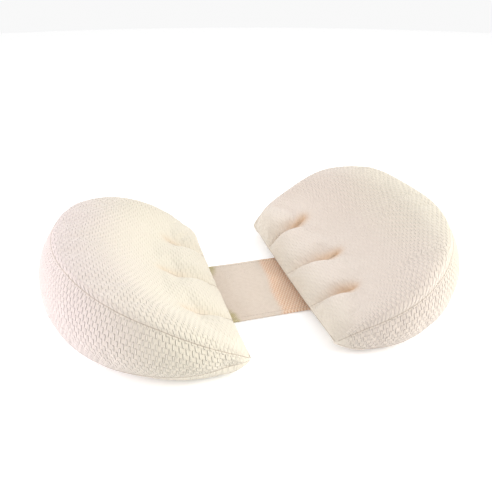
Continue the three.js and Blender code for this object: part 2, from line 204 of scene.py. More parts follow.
class NodeBook:
    """A material's node tree, written node by node."""

    def __init__(self, name: str) -> None:
        """Starts an empty material.

        Args:
            name: the material's name.
        """
        self.material = bpy.data.materials.new(name)
        self.material.use_nodes = True
        self.tree = self.material.node_tree
        self.tree.nodes.clear()

    def node(
        self,
        kind: str,
        settings: dict[str, Any] | None = None,
        inputs: dict[Any, Any] | None = None,
        output: int | str = 0,
    ) -> Wire:
        """Adds a node.

        Args:
            kind: the node's type.
            settings: its properties, set before its inputs.
            inputs: values or wires, by socket name or number.
            output: which output to give back.

        Returns:
            That output.
        """
        made = self.tree.nodes.new(kind)
        for name, value in (settings or {}).items():
            setattr(made, name, value)
        for key, value in (inputs or {}).items():
            target = made.inputs[key]
            if isinstance(value, Wire):
                self.tree.links.new(value.socket, target)
            elif target.type == "RGBA" and len(value) == 3:
                target.default_value = (*value, 1.0)
            else:
                target.default_value = value
        return Wire(self, made.outputs[output] if made.outputs else None)

    def mix(self, share: Number, first: Any, second: Any) -> Wire:
        """Mixes two colours.

        Args:
            share: of the second colour.
            first: a colour or a wire.
            second: a colour or a wire.

        Returns:
            The mixed colour.
        """
        return self.node("ShaderNodeMix", {"data_type": "RGBA"}, {0: share, 6: first, 7: second}, 2)

    def attribute(self, name: str) -> Wire:
        """Reads a number that the mesh carries at its points."""
        return self.node("ShaderNodeAttribute", {"attribute_name": name}, None, "Fac")

    def place(self) -> Wire:
        """Reads the place in the object's own frame."""
        return self.node("ShaderNodeTexCoord", None, None, "Object")

    def noise(self, place: Wire, scale: float, detail: float = 2.0, **more: float) -> Wire:
        """Adds a noise texture.

        Args:
            place: where it is read.
            scale: how fine it is, for each metre.
            detail: how many finer layers it has.
            more: other inputs, by name.

        Returns:
            Its value, from 0 to 1.
        """
        inputs = {"Vector": place, "Scale": scale, "Detail": detail}
        inputs.update({name.title(): value for name, value in more.items()})
        return self.node("ShaderNodeTexNoise", None, inputs)

    def weave_axes(self, unevenness: float) -> tuple[Wire, Wire, Wire]:
        """Reads the flat-cloth coordinates, pushed about a little as real cloth is.

        Args:
            unevenness: how far they are pushed, in metres.

        Returns:
            The coordinates as a vector, and their first and second parts.
        """
        flat = self.node("ShaderNodeUVMap", {"uv_map": WEAVE_MAP})
        wander = {"Vector": flat, "Scale": 38.0, "Detail": 1.0}
        pushed = self.node("ShaderNodeTexNoise", None, wander, "Color")
        middle = (0.5, 0.5, 0.5)
        push = self.node("ShaderNodeVectorMath", {"operation": "SUBTRACT"}, {0: pushed, 1: middle})
        stretch = {0: push, "Scale": unevenness * 2.0}
        scaled = self.node("ShaderNodeVectorMath", {"operation": "SCALE"}, stretch)
        moved = self.node("ShaderNodeVectorMath", {"operation": "ADD"}, {0: flat, 1: scaled})
        along = self.node("ShaderNodeSeparateXYZ", None, {0: moved}, 0)
        across = self.node("ShaderNodeSeparateXYZ", None, {0: moved}, 1)
        return flat, along, across

    def bump(self, height: Wire, distance: float) -> Wire:
        """Turns a height into a normal.

        Args:
            height: from 0 to 1.
            distance: what a height of 1 stands for, in metres.

        Returns:
            The normal.
        """
        inputs = {"Height": height, "Distance": distance, "Strength": 1.0}
        return self.node("ShaderNodeBump", None, inputs)

    def finish(
        self, base: Any, roughness: Number, normal: Wire | None = None, **fixed: Any
    ) -> bpy.types.Material:
        """Closes the material with one surface shader.

        Args:
            base: its colour.
            roughness: its roughness.
            normal: its normal, if it has a relief.
            fixed: other sockets of the shader, by name with _ for a space.

        Returns:
            The material.
        """
        inputs: dict[str, Any] = {"Base Color": base, "Roughness": roughness}
        if normal is not None:
            inputs["Normal"] = normal
        for name, value in fixed.items():
            inputs[name.replace("_", " ").title().replace("Ior", "IOR")] = value
        shader = self.node("ShaderNodeBsdfPrincipled", None, inputs)
        self.node("ShaderNodeOutputMaterial", None, {"Surface": shader})
        return self.material


# ------------------------------------------------------------------ finishes


@dataclass(frozen=True)
class RiceKnit:
    """Cream air-layer knit with staggered, raised rice-shaped grains."""

    name: str
    cream: Colour = (0.650, 0.575, 0.512)
    # Painted pink light, for the pink fill light on the far end of the left cushion.
    pink_light: Colour = (0.640, 0.560, 0.540)
    buttery: Colour = (0.665, 0.618, 0.515)
    # Painted shade, for the gaps between the raised grains.
    grain_gap_shade: Colour = (0.400, 0.320, 0.235)
    # Painted warm shade, for the shade in the dart creases.
    fold_shade_colour: Colour = (0.560, 0.330, 0.150)
    grain_width: float = 0.0072
    grain_length: float = 0.0120
    grain_depth: float = 0.0017
    course: float = 0.0014

    def grains(self, along: Wire, across: Wire) -> Wire:
        """Draws the raised grains, staggered from row to row.

        Args:
            along: the flat cloth's first coordinate.
            across: its second coordinate.

        Returns:
            1 on a grain and 0 between them.
        """
        wale = (along * (2 * math.pi / self.grain_width)).cos()
        row = (across * (2 * math.pi / self.grain_length)).cos()
        even = wale.between(0.25, 1.0) * row.between(-0.5, 0.45)
        odd = (-1.0 * wale).between(0.25, 1.0) * (-1.0 * row).between(-0.5, 0.45)
        return even + odd

    def build(self) -> bpy.types.Material:
        """Makes the material.

        Returns:
            The finished material.
        """
        book = NodeBook(self.name)
        flat, along, across = book.weave_axes(0.0010)
        grains = self.grains(along, across)
        relief = book.attribute(RELIEF)
        courses = (across * (2 * math.pi / self.course)).sin() * 0.04
        fuzz = book.noise(flat, 1300.0)
        height = grains * relief + courses + fuzz * 0.10
        patches = book.noise(flat, 9.0)
        place_x = book.node("ShaderNodeSeparateXYZ", None, {0: book.place()}, 0)
        # Painted pink light on the far end of the left cushion, giving way to the buttery tone
        # toward the middle.
        toward_middle = (place_x + (patches - 0.5) * 0.06).between(-0.27, -0.12)
        ground = book.mix(toward_middle, self.pink_light, self.buttery)
        ground = book.mix(place_x.between(0.02, 0.10), ground, self.cream)
        ground = book.mix(place_x.between(0.16, 0.25), ground, self.buttery)
        # Painted shade between the raised grains, stronger where they stand up more.
        ground = book.mix((1.0 - grains) * relief * 0.16, ground, self.grain_gap_shade)
        # Painted warm shade in the dart creases, by the share stored on the mesh.
        ground = book.mix(book.attribute(WARM_SHADE), ground, self.fold_shade_colour)
        rough = 0.86 + fuzz * 0.1
        normal = book.bump(height, self.grain_depth)
        nap = {"sheen_weight": 0.25, "sheen_roughness": 0.6, "specular_ior_level": 0.2}
        return book.finish(ground, rough, normal, **nap)


@dataclass(frozen=True)
class BandCloth:
    """Beige brushed plain weave, painted warmer and darker where it runs in under a cushion: painted
    warm shade with spots of painted warm reflected light.
    """

    name: str
    beige: Colour = (0.670, 0.580, 0.495)
    weft: Colour = (0.560, 0.470, 0.385)
    # Painted warm shade, where the band runs in under a cushion.
    shade: Colour = (0.690, 0.390, 0.225)
    # Painted shade with a yellow-green cast, by the left cushion's corners.
    olive_shade: Colour = (0.430, 0.370, 0.180)
    # Painted warm reflected light, in spots among the painted shade.
    lit: Colour = (0.930, 0.720, 0.550)
    pick: float = 0.0034
    grain_width: float = 0.0046
    grain_length: float = 0.0078

    def build(self) -> bpy.types.Material:
        """Makes the material.

        Returns:
            The finished material.
        """
        book = NodeBook(self.name)
        flat, along, across = book.weave_axes(0.0006)
        turn = 2 * math.pi / self.pick
        warp = (along * turn).sin()
        weft = (across * turn).sin()
        checker = (warp * weft).between(-0.5, 0.5)
        fuzz = book.noise(flat, 900.0, 4.0, roughness=0.7)
        slubs = book.noise(flat, 160.0, 3.0)
        shade = book.attribute(WARM_SHADE)
        ground = book.mix(checker * 0.22 + slubs.between(0.42, 0.62) * 0.25, self.beige, self.weft)
        wale = (along * (2 * math.pi / self.grain_width)).cos()
        row = (across * (2 * math.pi / self.grain_length)).cos()
        spots = (wale * row + (fuzz - 0.5) * 1.6).between(-0.5, 0.7)
        # Grain spots drawn in painted shade and painted warm reflected light.
        shaded = book.mix(spots, self.shade, self.lit)
        ragged = (slubs - 0.5) * 0.9
        # The painted zone beside the cushion, with a ragged edge.
        ground = book.mix((shade + ragged * shade).between(0.0, 1.0) * 0.85, ground, shaded)
        # Painted yellow-green shade by the left cushion's corners, broken up by the weave and slubs.
        olive_shade_mask = (book.attribute(OLIVE_SHADE) * (0.7 + checker * 0.5 + ragged)).between(0.1, 1.0)
        ground = book.mix(olive_shade_mask, ground, self.olive_shade)
        height = checker * 0.5 + fuzz * 0.7 + spots * shade
        rough = 0.85 + fuzz * 0.12
        normal = book.bump(height, 0.0005)
        return book.finish(ground, rough, normal, sheen_weight=0.25, specular_ior_level=0.2)


@dataclass(frozen=True)
class PlainCloth:
    """Plain woven cloth, for the inner bag, the zip's tapes and the underside."""

    name: str
    ground: Colour
    thread: Colour
    pick: float = 0.0009
    depth: float = 0.00015

    def build(self) -> bpy.types.Material:
        """Makes the material.

        Returns:
            The finished material.
        """
        book = NodeBook(self.name)
        place = book.place()
        x = book.node("ShaderNodeSeparateXYZ", None, {0: place}, 0)
        y = book.node("ShaderNodeSeparateXYZ", None, {0: place}, 1)
        turn = 2 * math.pi / self.pick
        weave = ((x * turn).sin() * (y * turn).sin()).between(-0.4, 0.4)
        tone = book.noise(place, 60.0, 3.0)
        ground = book.mix(weave * 0.5 + tone * 0.3, self.ground, self.thread)
        rough = 0.86 + tone * 0.1
        return book.finish(ground, rough, book.bump(weave, self.depth), sheen_weight=0.15)


@dataclass(frozen=True)
class GripTape:
    """Nylon tape with stiff hooks in rows, or with brushed loops."""

    name: str
    ground: Colour
    tip: Colour
    hooked: bool

    def build(self) -> bpy.types.Material:
        """Makes the material.

        Returns:
            The finished material.
        """
        book = NodeBook(self.name)
        place = book.place()
        fuzz = book.noise(place, 1100.0, 4.0)
        scale, randomness = (620.0, 0.35) if self.hooked else (420.0, 1.0)
        spread = {"Vector": place, "Scale": scale, "Randomness": randomness}
        cells = book.node("ShaderNodeTexVoronoi", None, spread, "Distance")
        if self.hooked:
            height = 1.0 - cells.between(0.05, 0.55)
        else:
            height = cells.between(0.1, 0.8) * 0.6 + fuzz * 0.6
        ground = book.mix(height * 0.8, self.ground, self.tip)
        return book.finish(ground, 0.6 + fuzz * 0.3, book.bump(height, 0.0006), sheen_weight=0.1)


@dataclass(frozen=True)
class SewingThread:
    """Twisted polyester thread."""

    name: str
    colour: Colour

    def build(self) -> bpy.types.Material:
        """Makes the material.

        Returns:
            The finished material.
        """
        book = NodeBook(self.name)
        place = book.place()
        plies = {"Vector": place, "Scale": 900.0, "Distortion": 0.4}
        twist = book.node("ShaderNodeTexWave", {"bands_direction": "DIAGONAL"}, plies, 1)
        tone = book.noise(place, 90.0)
        darker = tuple(0.8 * part for part in self.colour)
        ground = book.mix(twist * 0.4 + tone * 0.3, self.colour, darker)
        return book.finish(ground, 0.5 + tone * 0.2, book.bump(twist, 0.0001))


@dataclass(frozen=True)
class LooseFibre:
    """White crimped polyester filling."""

    name: str
    white: Colour = (0.93, 0.92, 0.90)

    def build(self) -> bpy.types.Material:
        """Makes the material.

        Returns:
            The finished material.
        """
        book = NodeBook(self.name)
        strands = book.noise(book.place(), 240.0, 6.0, distortion=2.5)
        ground = book.mix(strands, self.white, (0.82, 0.81, 0.79))
        rough = 0.95 - strands * 0.1
        return book.finish(ground, rough, book.bump(strands, 0.002), sheen_weight=0.4)


@dataclass(frozen=True)
class MouldedNylon:
    """The zip's nylon coil."""

    name: str
    cream: Colour = (0.80, 0.72, 0.60)

    def build(self) -> bpy.types.Material:
        """Makes the material.

        Returns:
            The finished material.
        """
        book = NodeBook(self.name)
        tone = book.noise(book.place(), 400.0)
        ground = book.mix(tone * 0.5, self.cream, (0.70, 0.61, 0.49))
        return book.finish(ground, 0.3 + tone * 0.2, book.bump(tone, 0.00005), coat_weight=0.2)


@dataclass(frozen=True)
class PlatedMetal:
    """Cast zinc with a satin nickel plate, worn a little dull."""

    name: str
    nickel: Colour = (0.74, 0.73, 0.70)

    def build(self) -> bpy.types.Material:
        """Makes the material.

        Returns:
            The finished material.
        """
        book = NodeBook(self.name)
        place = book.place()
        wear = book.noise(place, 260.0, 5.0)
        brushed = book.noise(place, 2200.0, 1.0)
        ground = book.mix(wear.between(0.4, 0.7) * 0.5, self.nickel, (0.55, 0.54, 0.52))
        return book.finish(ground, 0.24 + wear * 0.25, book.bump(brushed, 0.00002), metallic=1.0)


@dataclass(frozen=True)
class StudioFloor:
    """Plain, pale, matt floor."""

    name: str
    pale: Colour = (0.93, 0.93, 0.93)
    glow: float = 0.19

    def build(self) -> bpy.types.Material:
        """Makes the material.

        Returns:
            The finished material.
        """
        glow = {"emission_color": (1.0, 1.0, 1.0), "emission_strength": self.glow}
        return NodeBook(self.name).finish(self.pale, 0.9, specular_ior_level=0.1, **glow)


BAG_COTTON = PlainCloth("inner_bag_cotton", (0.74, 0.74, 0.72), (0.64, 0.64, 0.62))
ZIP_TAPE = PlainCloth("zip_tape_weave", (0.60, 0.53, 0.44), (0.48, 0.41, 0.32), 0.0012)
HOOK_TAPE = GripTape("hook_tape_nylon", (0.56, 0.46, 0.36), (0.74, 0.66, 0.56), True)
LOOP_TAPE = GripTape("loop_tape_brushed", (0.66, 0.57, 0.46), (0.82, 0.75, 0.65), False)
SEAM_THREAD = SewingThread("seam_thread", (0.46, 0.385, 0.31))
BAND_THREAD = SewingThread("band_thread", (0.52, 0.44, 0.36))


@dataclass
class Wardrobe:
    """Every finish, made once."""

    knit: bpy.types.Material = field(default_factory=RiceKnit("cover_knit").build)
    band: bpy.types.Material = field(default_factory=BandCloth("band_weave").build)
    bag: bpy.types.Material = field(default_factory=BAG_COTTON.build)
    zip_tape: bpy.types.Material = field(default_factory=ZIP_TAPE.build)
    hooks: bpy.types.Material = field(default_factory=HOOK_TAPE.build)
    loops: bpy.types.Material = field(default_factory=LOOP_TAPE.build)
    seam: bpy.types.Material = field(default_factory=SEAM_THREAD.build)
    stitch: bpy.types.Material = field(default_factory=BAND_THREAD.build)
    fibre: bpy.types.Material = field(default_factory=LooseFibre("fibre_filling").build)
    nylon: bpy.types.Material = field(default_factory=MouldedNylon("zip_coil_nylon").build)
    metal: bpy.types.Material = field(default_factory=PlatedMetal("zip_plated_metal").build)


# ------------------------------------------------------------------ mesh helpers


def mesh_object(name: str, points: np.ndarray, faces: Iterable[Sequence[int]]) -> bpy.types.Object:
    """Makes an object from points and faces.

    Args:
        name: the object's name.
        points: one row for each vertex.
        faces: the vertices of each face, anticlockwise from outside.

    Returns:
        The object, at the origin.
    """
    mesh = bpy.data.meshes.new(name)
    mesh.from_pydata([tuple(point) for point in points], [], [tuple(face) for face in faces])
    mesh.update()
    made = bpy.data.objects.new(name, mesh)
    bpy.context.scene.collection.objects.link(made)
    return made


def points_of(made: bpy.types.Object) -> np.ndarray:
    """Gives an object's vertices as rows.

    Args:
        made: the object.

    Returns:
        One row of x, y and z for each vertex.
    """
    points = np.zeros(len(made.data.vertices) * 3)
    made.data.vertices.foreach_get("co", points)
    return points.reshape(-1, 3)


def place_points(made: bpy.types.Object, points: np.ndarray) -> None:
    """Moves an object's vertices."""
    made.data.vertices.foreach_set("co", points.astype(np.float32).ravel())
    made.data.update()


def store(made: bpy.types.Object, name: str, values: np.ndarray) -> None:
    """Stores a number at each of an object's points."""
    layer = made.data.attributes.new(name, "FLOAT", "POINT")
    layer.data.foreach_set("value", values.astype(np.float32))


def alone(made: bpy.types.Object) -> None:
    """Selects one object and makes it active.

    Args:
        made: the object.
    """
    bpy.ops.object.select_all(action="DESELECT")
    made.select_set(True)
    bpy.context.view_layer.objects.active = made


def apply_modifier(made: bpy.types.Object, kind: str, **settings: Any) -> None:
    """Adds a modifier with these settings and applies it.

    Args:
        made: the object.
        kind: the modifier's type.
        settings: its properties.
    """
    alone(made)
    modifier = made.modifiers.new(kind.lower(), kind)
    for name, value in settings.items():
        setattr(modifier, name, value)
    bpy.ops.object.modifier_apply(modifier=modifier.name)


def settle(
    made: bpy.types.Object, name: str, material: bpy.types.Material, side: Side = Side.RIGHT
) -> bpy.types.Object:
    """Bakes an object's place into its mesh, names it and gives it its finish.

    Args:
        made: the object, modelled as a piece of the right half.
        name: the piece's name.
        material: its finish.
        side: the half that its mesh is taken to.

    Returns:
        The object.
    """
    made.name = name
    made.data.name = name
    made.data.transform(made.matrix_world)
    made.matrix_world = Matrix.Identity(4)
    if side is Side.LEFT:
        made.data.transform(Matrix.Rotation(math.pi, 4, "Z"))
    made.data.materials.clear()
    made.data.materials.append(material)
    alone(made)
    bpy.ops.object.shade_smooth_by_angle(angle=math.radians(40))
    return made


def join_all(pieces: Sequence[bpy.types.Object]) -> bpy.types.Object:
    """Joins objects into the first of them.

    Args:
        pieces: the objects.

    Returns:
        The first, which now holds them all.
    """
    alone(pieces[0])
    for piece in pieces[1:]:
        piece.select_set(True)
    bpy.ops.object.join()
    return pieces[0]


def tube(name: str, path: np.ndarray, radius: float) -> bpy.types.Object:
    """Makes a round thread along a path.

    Args:
        name: the object's name.
        path: one row for each point that it follows.
        radius: of the thread.

    Returns:
        A mesh object.
    """
    curve = bpy.data.curves.new(name, "CURVE")
    curve.dimensions = "3D"
    curve.bevel_depth = radius
    curve.bevel_resolution = 1
    curve.use_fill_caps = True
    line = curve.splines.new("POLY")
    line.points.add(len(path) - 1)
    for point, place in zip(line.points, path):
        point.co = (*place, 1.0)
    made = bpy.data.objects.new(name, curve)
    bpy.context.scene.collection.objects.link(made)
    alone(made)
    bpy.ops.object.convert(target="MESH")
    return bpy.context.view_layer.objects.active


def repeat(made: bpy.types.Object, count: int, step: Point) -> None:
    """Repeats an object's mesh in a row.

    Args:
        made: the object.
        count: how many there are.
        step: from each to the next.
    """
    offsets = {"use_relative_offset": False, "use_constant_offset": True}
    apply_modifier(made, "ARRAY", count=count, constant_offset_displace=step, **offsets)


@contextmanager
def editing() -> Iterator[None]:
    """Opens the whole mesh of the active object to edit tools, and closes it again."""
    bpy.ops.object.mode_set(mode="EDIT")
    bpy.ops.mesh.select_all(action="SELECT")
    yield
    bpy.ops.object.mode_set(mode="OBJECT")


def beam(low: Point, high: Point, bevel: float) -> bpy.types.Object:
    """Models a block with rounded edges.

    Args:
        low: its lowest corner.
        high: its highest corner.
        bevel: how far its edges are rounded.

    Returns:
        The object.
    """
    bpy.ops.object.select_all(action="DESELECT")
    middle = [(a + b) / 2 for a, b in zip(low, high)]
    bpy.ops.mesh.primitive_cube_add(size=1.0, location=middle)
    made = bpy.context.active_object
    size = [b - a for a, b in zip(low, high)]
    with editing():
        bpy.ops.transform.resize(value=size, center_override=middle)
        bpy.ops.mesh.bevel(offset=bevel, segments=2, affect="EDGES")
    return made


# ------------------------------------------------------------------ cushions


@dataclass(frozen=True)
class Dart:
    """A stitched tuck that runs in from the straight seam."""

    root: tuple[float, float]
    apex: tuple[float, float]

    def place(self, x: np.ndarray, y: np.ndarray) -> tuple[np.ndarray, np.ndarray]:
        """Finds points beside the dart.

        Args:
            x: from the straight seam.
            y: along it.

        Returns:
            How far along the dart each point is, from 0 to 1, and how far from it in metres.
        """
        dx, dy = self.apex[0] - self.root[0], self.apex[1] - self.root[1]
        along = ((x - self.root[0]) * dx + (y - self.root[1]) * dy) / (dx * dx + dy * dy)
        held = np.clip(along, 0.0, 1.0)
        away = np.hypot(x - self.root[0] - held * dx, y - self.root[1] - held * dy)
        return held, away


@dataclass(frozen=True)
class WedgeShape:
    """The outer surface of one cushion, with x out from its straight seam and y along it."""

    straight_seam: float = 0.340
    side_swell: float = 0.015
    depth: float = 0.208
    gusset_bulge: float = 0.023
    bulge_lean: float = 0.9
    swell_power: float = 2.35
    hem_power: int = 12
    rim_height: float = 0.1225
    rim_roll: float = 0.004
    roll_width: float = 0.026
    seam_slip: float = 0.002
    near_slip: float = 0.0
    near_hem: float = 0.0
    dish: float = 2.1
    corner_height: float = 0.018
    straight_height: float = 0.012
    base_seam_height: float = 0.009
    tip_lift: float = 0.0155
    tip_start: float = 0.7
    edge_puff: float = 0.028
    edge_round: float = 0.054
    pad_height: float = 0.005
    pad_overhang: float = 0.007
    crease_share: float = 0.66
    crease_reach: float = 0.036
    crease_glow: float = 0.0085
    base_round: float = 0.034
    least_height: float = 0.006
    recess: float = 0.0082
    recess_end: float = 0.108
    recess_slope: float = 0.0226
    recess_margin: float = 0.034
    recess_fade: float = 0.028
    band_half: float = 0.075
    zip_at: float = 0.1456
    zip_border: float = 0.015
    zip_half: float = 0.090
    zip_floor: float = 0.0070
    zip_roof: float = 0.0094
    slot_half: float = 0.0070
    slot_end: float = 0.0035
    darts: tuple[Dart, ...] = (
        Dart((0.0, 0.089), (0.064, 0.096)),
        Dart((0.0, 0.003), (0.078, -0.005)),
        Dart((0.0, -0.088), (0.058, -0.096)),
    )

    @property
    def squeeze(self) -> float:
        """How far past its middle the outline's ellipse is cut, as a share of its reach."""
        widest = self.straight_seam + 2 * self.side_swell
        return math.sqrt(1.0 - (self.straight_seam / widest) ** 2)

    def outline(self, e: np.ndarray) -> tuple[np.ndarray, np.ndarray, np.ndarray]:
        """Gives the round outline.

        Args:
            e: from -1 at one corner to 1 at the other.

        Returns:
            x, y, and the way out as rows of two.
        """
        reach = self.depth / (1.0 + self.squeeze)
        half = self.straight_seam / 2 + self.side_swell
        angle = e * math.acos(-self.squeeze)
        out = np.stack([np.cos(angle) / reach, np.sin(angle) / half], -1)
        out /= np.linalg.norm(out, axis=-1)[..., None]
        return self.squeeze * reach + reach * np.cos(angle), half * np.sin(angle), out

    def swell(self, e: np.ndarray) -> np.ndarray:
        """Gives 1 halfway along the seams and 0 at the corners."""
        return 1.0 - np.abs(e) ** self.swell_power

    def rim(self, e: np.ndarray) -> np.ndarray:
        """Gives the height of the seam round the top panel."""
        return self.corner_height + (self.rim_height - self.corner_height) * self.swell(e)

    def hem(self, e: np.ndarray) -> np.ndarray:
        """Gives the height of the seam round the base.

        Args:
            e: along the seams.

        Returns:
            The height, in metres.
        """
        near = smooth((e - 0.2) / 0.45) * smooth((1.02 - e) / 0.15)
        at_corner = self.corner_height - 0.001 - self.base_seam_height
        rise = at_corner * np.abs(e) ** self.hem_power
        return self.base_seam_height + rise + self.near_hem * near

    def slip(self, e: np.ndarray) -> np.ndarray:
        """Gives how far the rim's seam has slid down the side wall."""
        near = smooth((e + 1.0) / 0.4) * smooth((0.12 - e) / 0.4)
        return self.seam_slip * self.swell(e) + self.near_slip * near

    def wall(self, e: np.ndarray, v: np.ndarray) -> np.ndarray:
        """Gives the whole side, from the base's seam to the rim.

        Args:
            e: along the seams.
            v: from 0 at the base's seam to 1 at the rim.

        Returns:
            Its points.
        """
        x, y, out = self.outline(e)
        bulge = self.gusset_bulge * np.sin(math.pi * v**self.bulge_lean) * self.swell(e)
        z = self.hem(e) + (self.rim(e) - self.hem(e)) * v
        return np.stack([x + out[..., 0] * bulge, y + out[..., 1] * bulge, z], -1)

    def gusset(self, e: np.ndarray, v: np.ndarray) -> np.ndarray:
        """Gives the side panel.

        Args:
            e: along the seams.
            v: from 0 at the base's seam to 1 at the top panel's seam.

        Returns:
            Its points.
        """
        height = np.maximum(self.rim(e) - self.hem(e), 0.001)
        return self.wall(e, v * (1.0 - np.clip(self.slip(e) / height, 0.0, 0.5)))

    def crease(self, x: np.ndarray, y: np.ndarray) -> tuple[np.ndarray, np.ndarray]:
        """Gives how far the darts pull the top panel in.

        Args:
            x: from the straight seam.
            y: along it.

        Returns:
            The pull from 0 to 1, and how much painted warm shade shows along the darts.
        """
        pull = np.zeros_like(x)
        fold_shade_share = np.zeros_like(x)
        for dart in self.darts:
            along, away = dart.place(x, y)
            reach = self.crease_reach * (1.0 - 0.5 * along)
            valley = 1.0 - np.sin(np.clip(away / reach, 0.0, 1.0) * math.pi / 2) ** 0.5
            pull = np.maximum(pull, valley)
            # Painted warm shade along each dart, strongest toward its end.
            toward_end = 0.15 + 0.85 * smooth((along - 0.35) / 0.5)
            glow = np.exp(-((away / self.crease_glow) ** 2)) * toward_end
            fold_shade_share = np.maximum(fold_shade_share, glow)
        return pull, fold_shade_share

    def top(self, e: np.ndarray, u: np.ndarray) -> tuple[np.ndarray, np.ndarray]:
        """Gives the top panel.

        Args:
            e: along the seams.
            u: from 0 at the straight seam to 1 at the rim.

        Returns:
            Its points, and the painted warm shade of its folds.
        """
        end = self.gusset(e, np.ones_like(e))
        seam_y = self.straight_seam / 2 * e
        x = end[..., 0] * u
        y = seam_y + (end[..., 1] - seam_y) * u
        across = np.hypot(end[..., 0], end[..., 1] - seam_y)
        run = np.clip(u * across / self.edge_round, 0.0, 1.0)
        over = np.sin(run * math.pi / 2) ** 0.7
        pull, fold_shade_share = self.crease(x, y)
        pull = pull * (1.0 - smooth((u - 0.34) / 0.2))
        pads = self.edge_puff * (1.0 - smooth((u - 0.12) / 0.66))
        pads = pads + self.pad_height * (1.0 - smooth((u - 0.1) / 0.5))
        fade = smooth((1.0 - np.abs(e)) / 0.2)
        edge = self.straight_height + (self.corner_height - self.straight_height) * e**2
        slope = edge + (self.rim(e) - edge) * smooth(u / 0.97) ** self.dish
        roll = self.rim_roll * fade
        width = self.roll_width + 0.5 * self.slip(e)
        near_rim = np.clip((1.0 - u) * across / np.maximum(width, 1e-6), 0.0, 1.0)
        rolled = np.sqrt(1.0 - (1.0 - near_rim) ** 2)
        drop = self.rim(e) + roll - end[..., 2]
        z = slope + roll * (1.0 - smooth((1.0 - u) / 0.6)) - drop * (1.0 - rolled)
        z = z + over * pads * fade * (1.0 - self.crease_share * pull)
        hang = np.clip(u * across / (1.2 * self.edge_round), 0.0, 1.0)
        lip = np.sin(math.pi * hang) * (1.0 - smooth(u / 0.5))
        x = x - self.pad_overhang * lip * fade * (1.0 - 1.6 * pull)
        return np.stack([x, y, np.maximum(z, self.least_height)], -1), fold_shade_share

    def base(self, e: np.ndarray, x_line: np.ndarray) -> np.ndarray:
        """Gives the base panel, with a rise over the band's end and another for the zip.

        Args:
            e: along the seams.
            x_line: the line across the base that a point is on, by its x at the middle.

        Returns:
            Its points.
        """
        rim_x, rim_y, _ = self.outline(e)
        seam_y = self.straight_seam / 2 * e
        straight = self.zip_at + self.zip_border
        room = np.minimum(1.0, rim_x / (straight + self.zip_border))
        inner = straight * room
        past = inner + (rim_x - inner) * (x_line - straight) / (self.depth - straight)
        x = np.where(x_line < straight, x_line * room, past)
        share = x / np.maximum(rim_x, 1e-6)
        y = seam_y + (rim_y - seam_y) * share
        across = np.hypot(rim_x, rim_y - seam_y)
        width = np.maximum(np.minimum(self.base_round, 0.5 * across), 1e-6)
        edge = self.straight_height + (self.corner_height - self.straight_height) * e**2
        at_seam = edge * (1.0 - np.clip(share * across / width, 0.0, 1.0)) ** 2
        at_rim = self.hem(e) * (1.0 - np.clip((1.0 - share) * across / width, 0.0, 1.0)) ** 2
        rise = self.recess * (1.0 - smooth((x - self.recess_end) / self.recess_slope))
        past_band = np.abs(y) - self.band_half - self.recess_margin
        rise = rise * (1.0 - smooth(past_band / self.recess_fade))
        beside = np.abs(x - self.zip_at)
        end = 1.0 - smooth((np.abs(y) - self.zip_half - 0.012) / 0.024)
        channel = self.zip_floor * np.clip(1.0 - (beside - 0.009) / 0.006, 0.0, 1.0) * end
        slot = (beside < self.slot_half) & (np.abs(y) < self.zip_half + self.slot_end)
        past_start = np.clip((np.abs(e) - self.tip_start) / 0.3, 0.0, 1.0)
        tip = self.tip_lift * past_start**2 + 0.0 * x
        roof = np.where(slot, self.zip_roof, 0.0)
        z = np.maximum.reduce([at_seam, at_rim, rise, channel, tip, roof])
        return np.stack([x, y, z], -1)


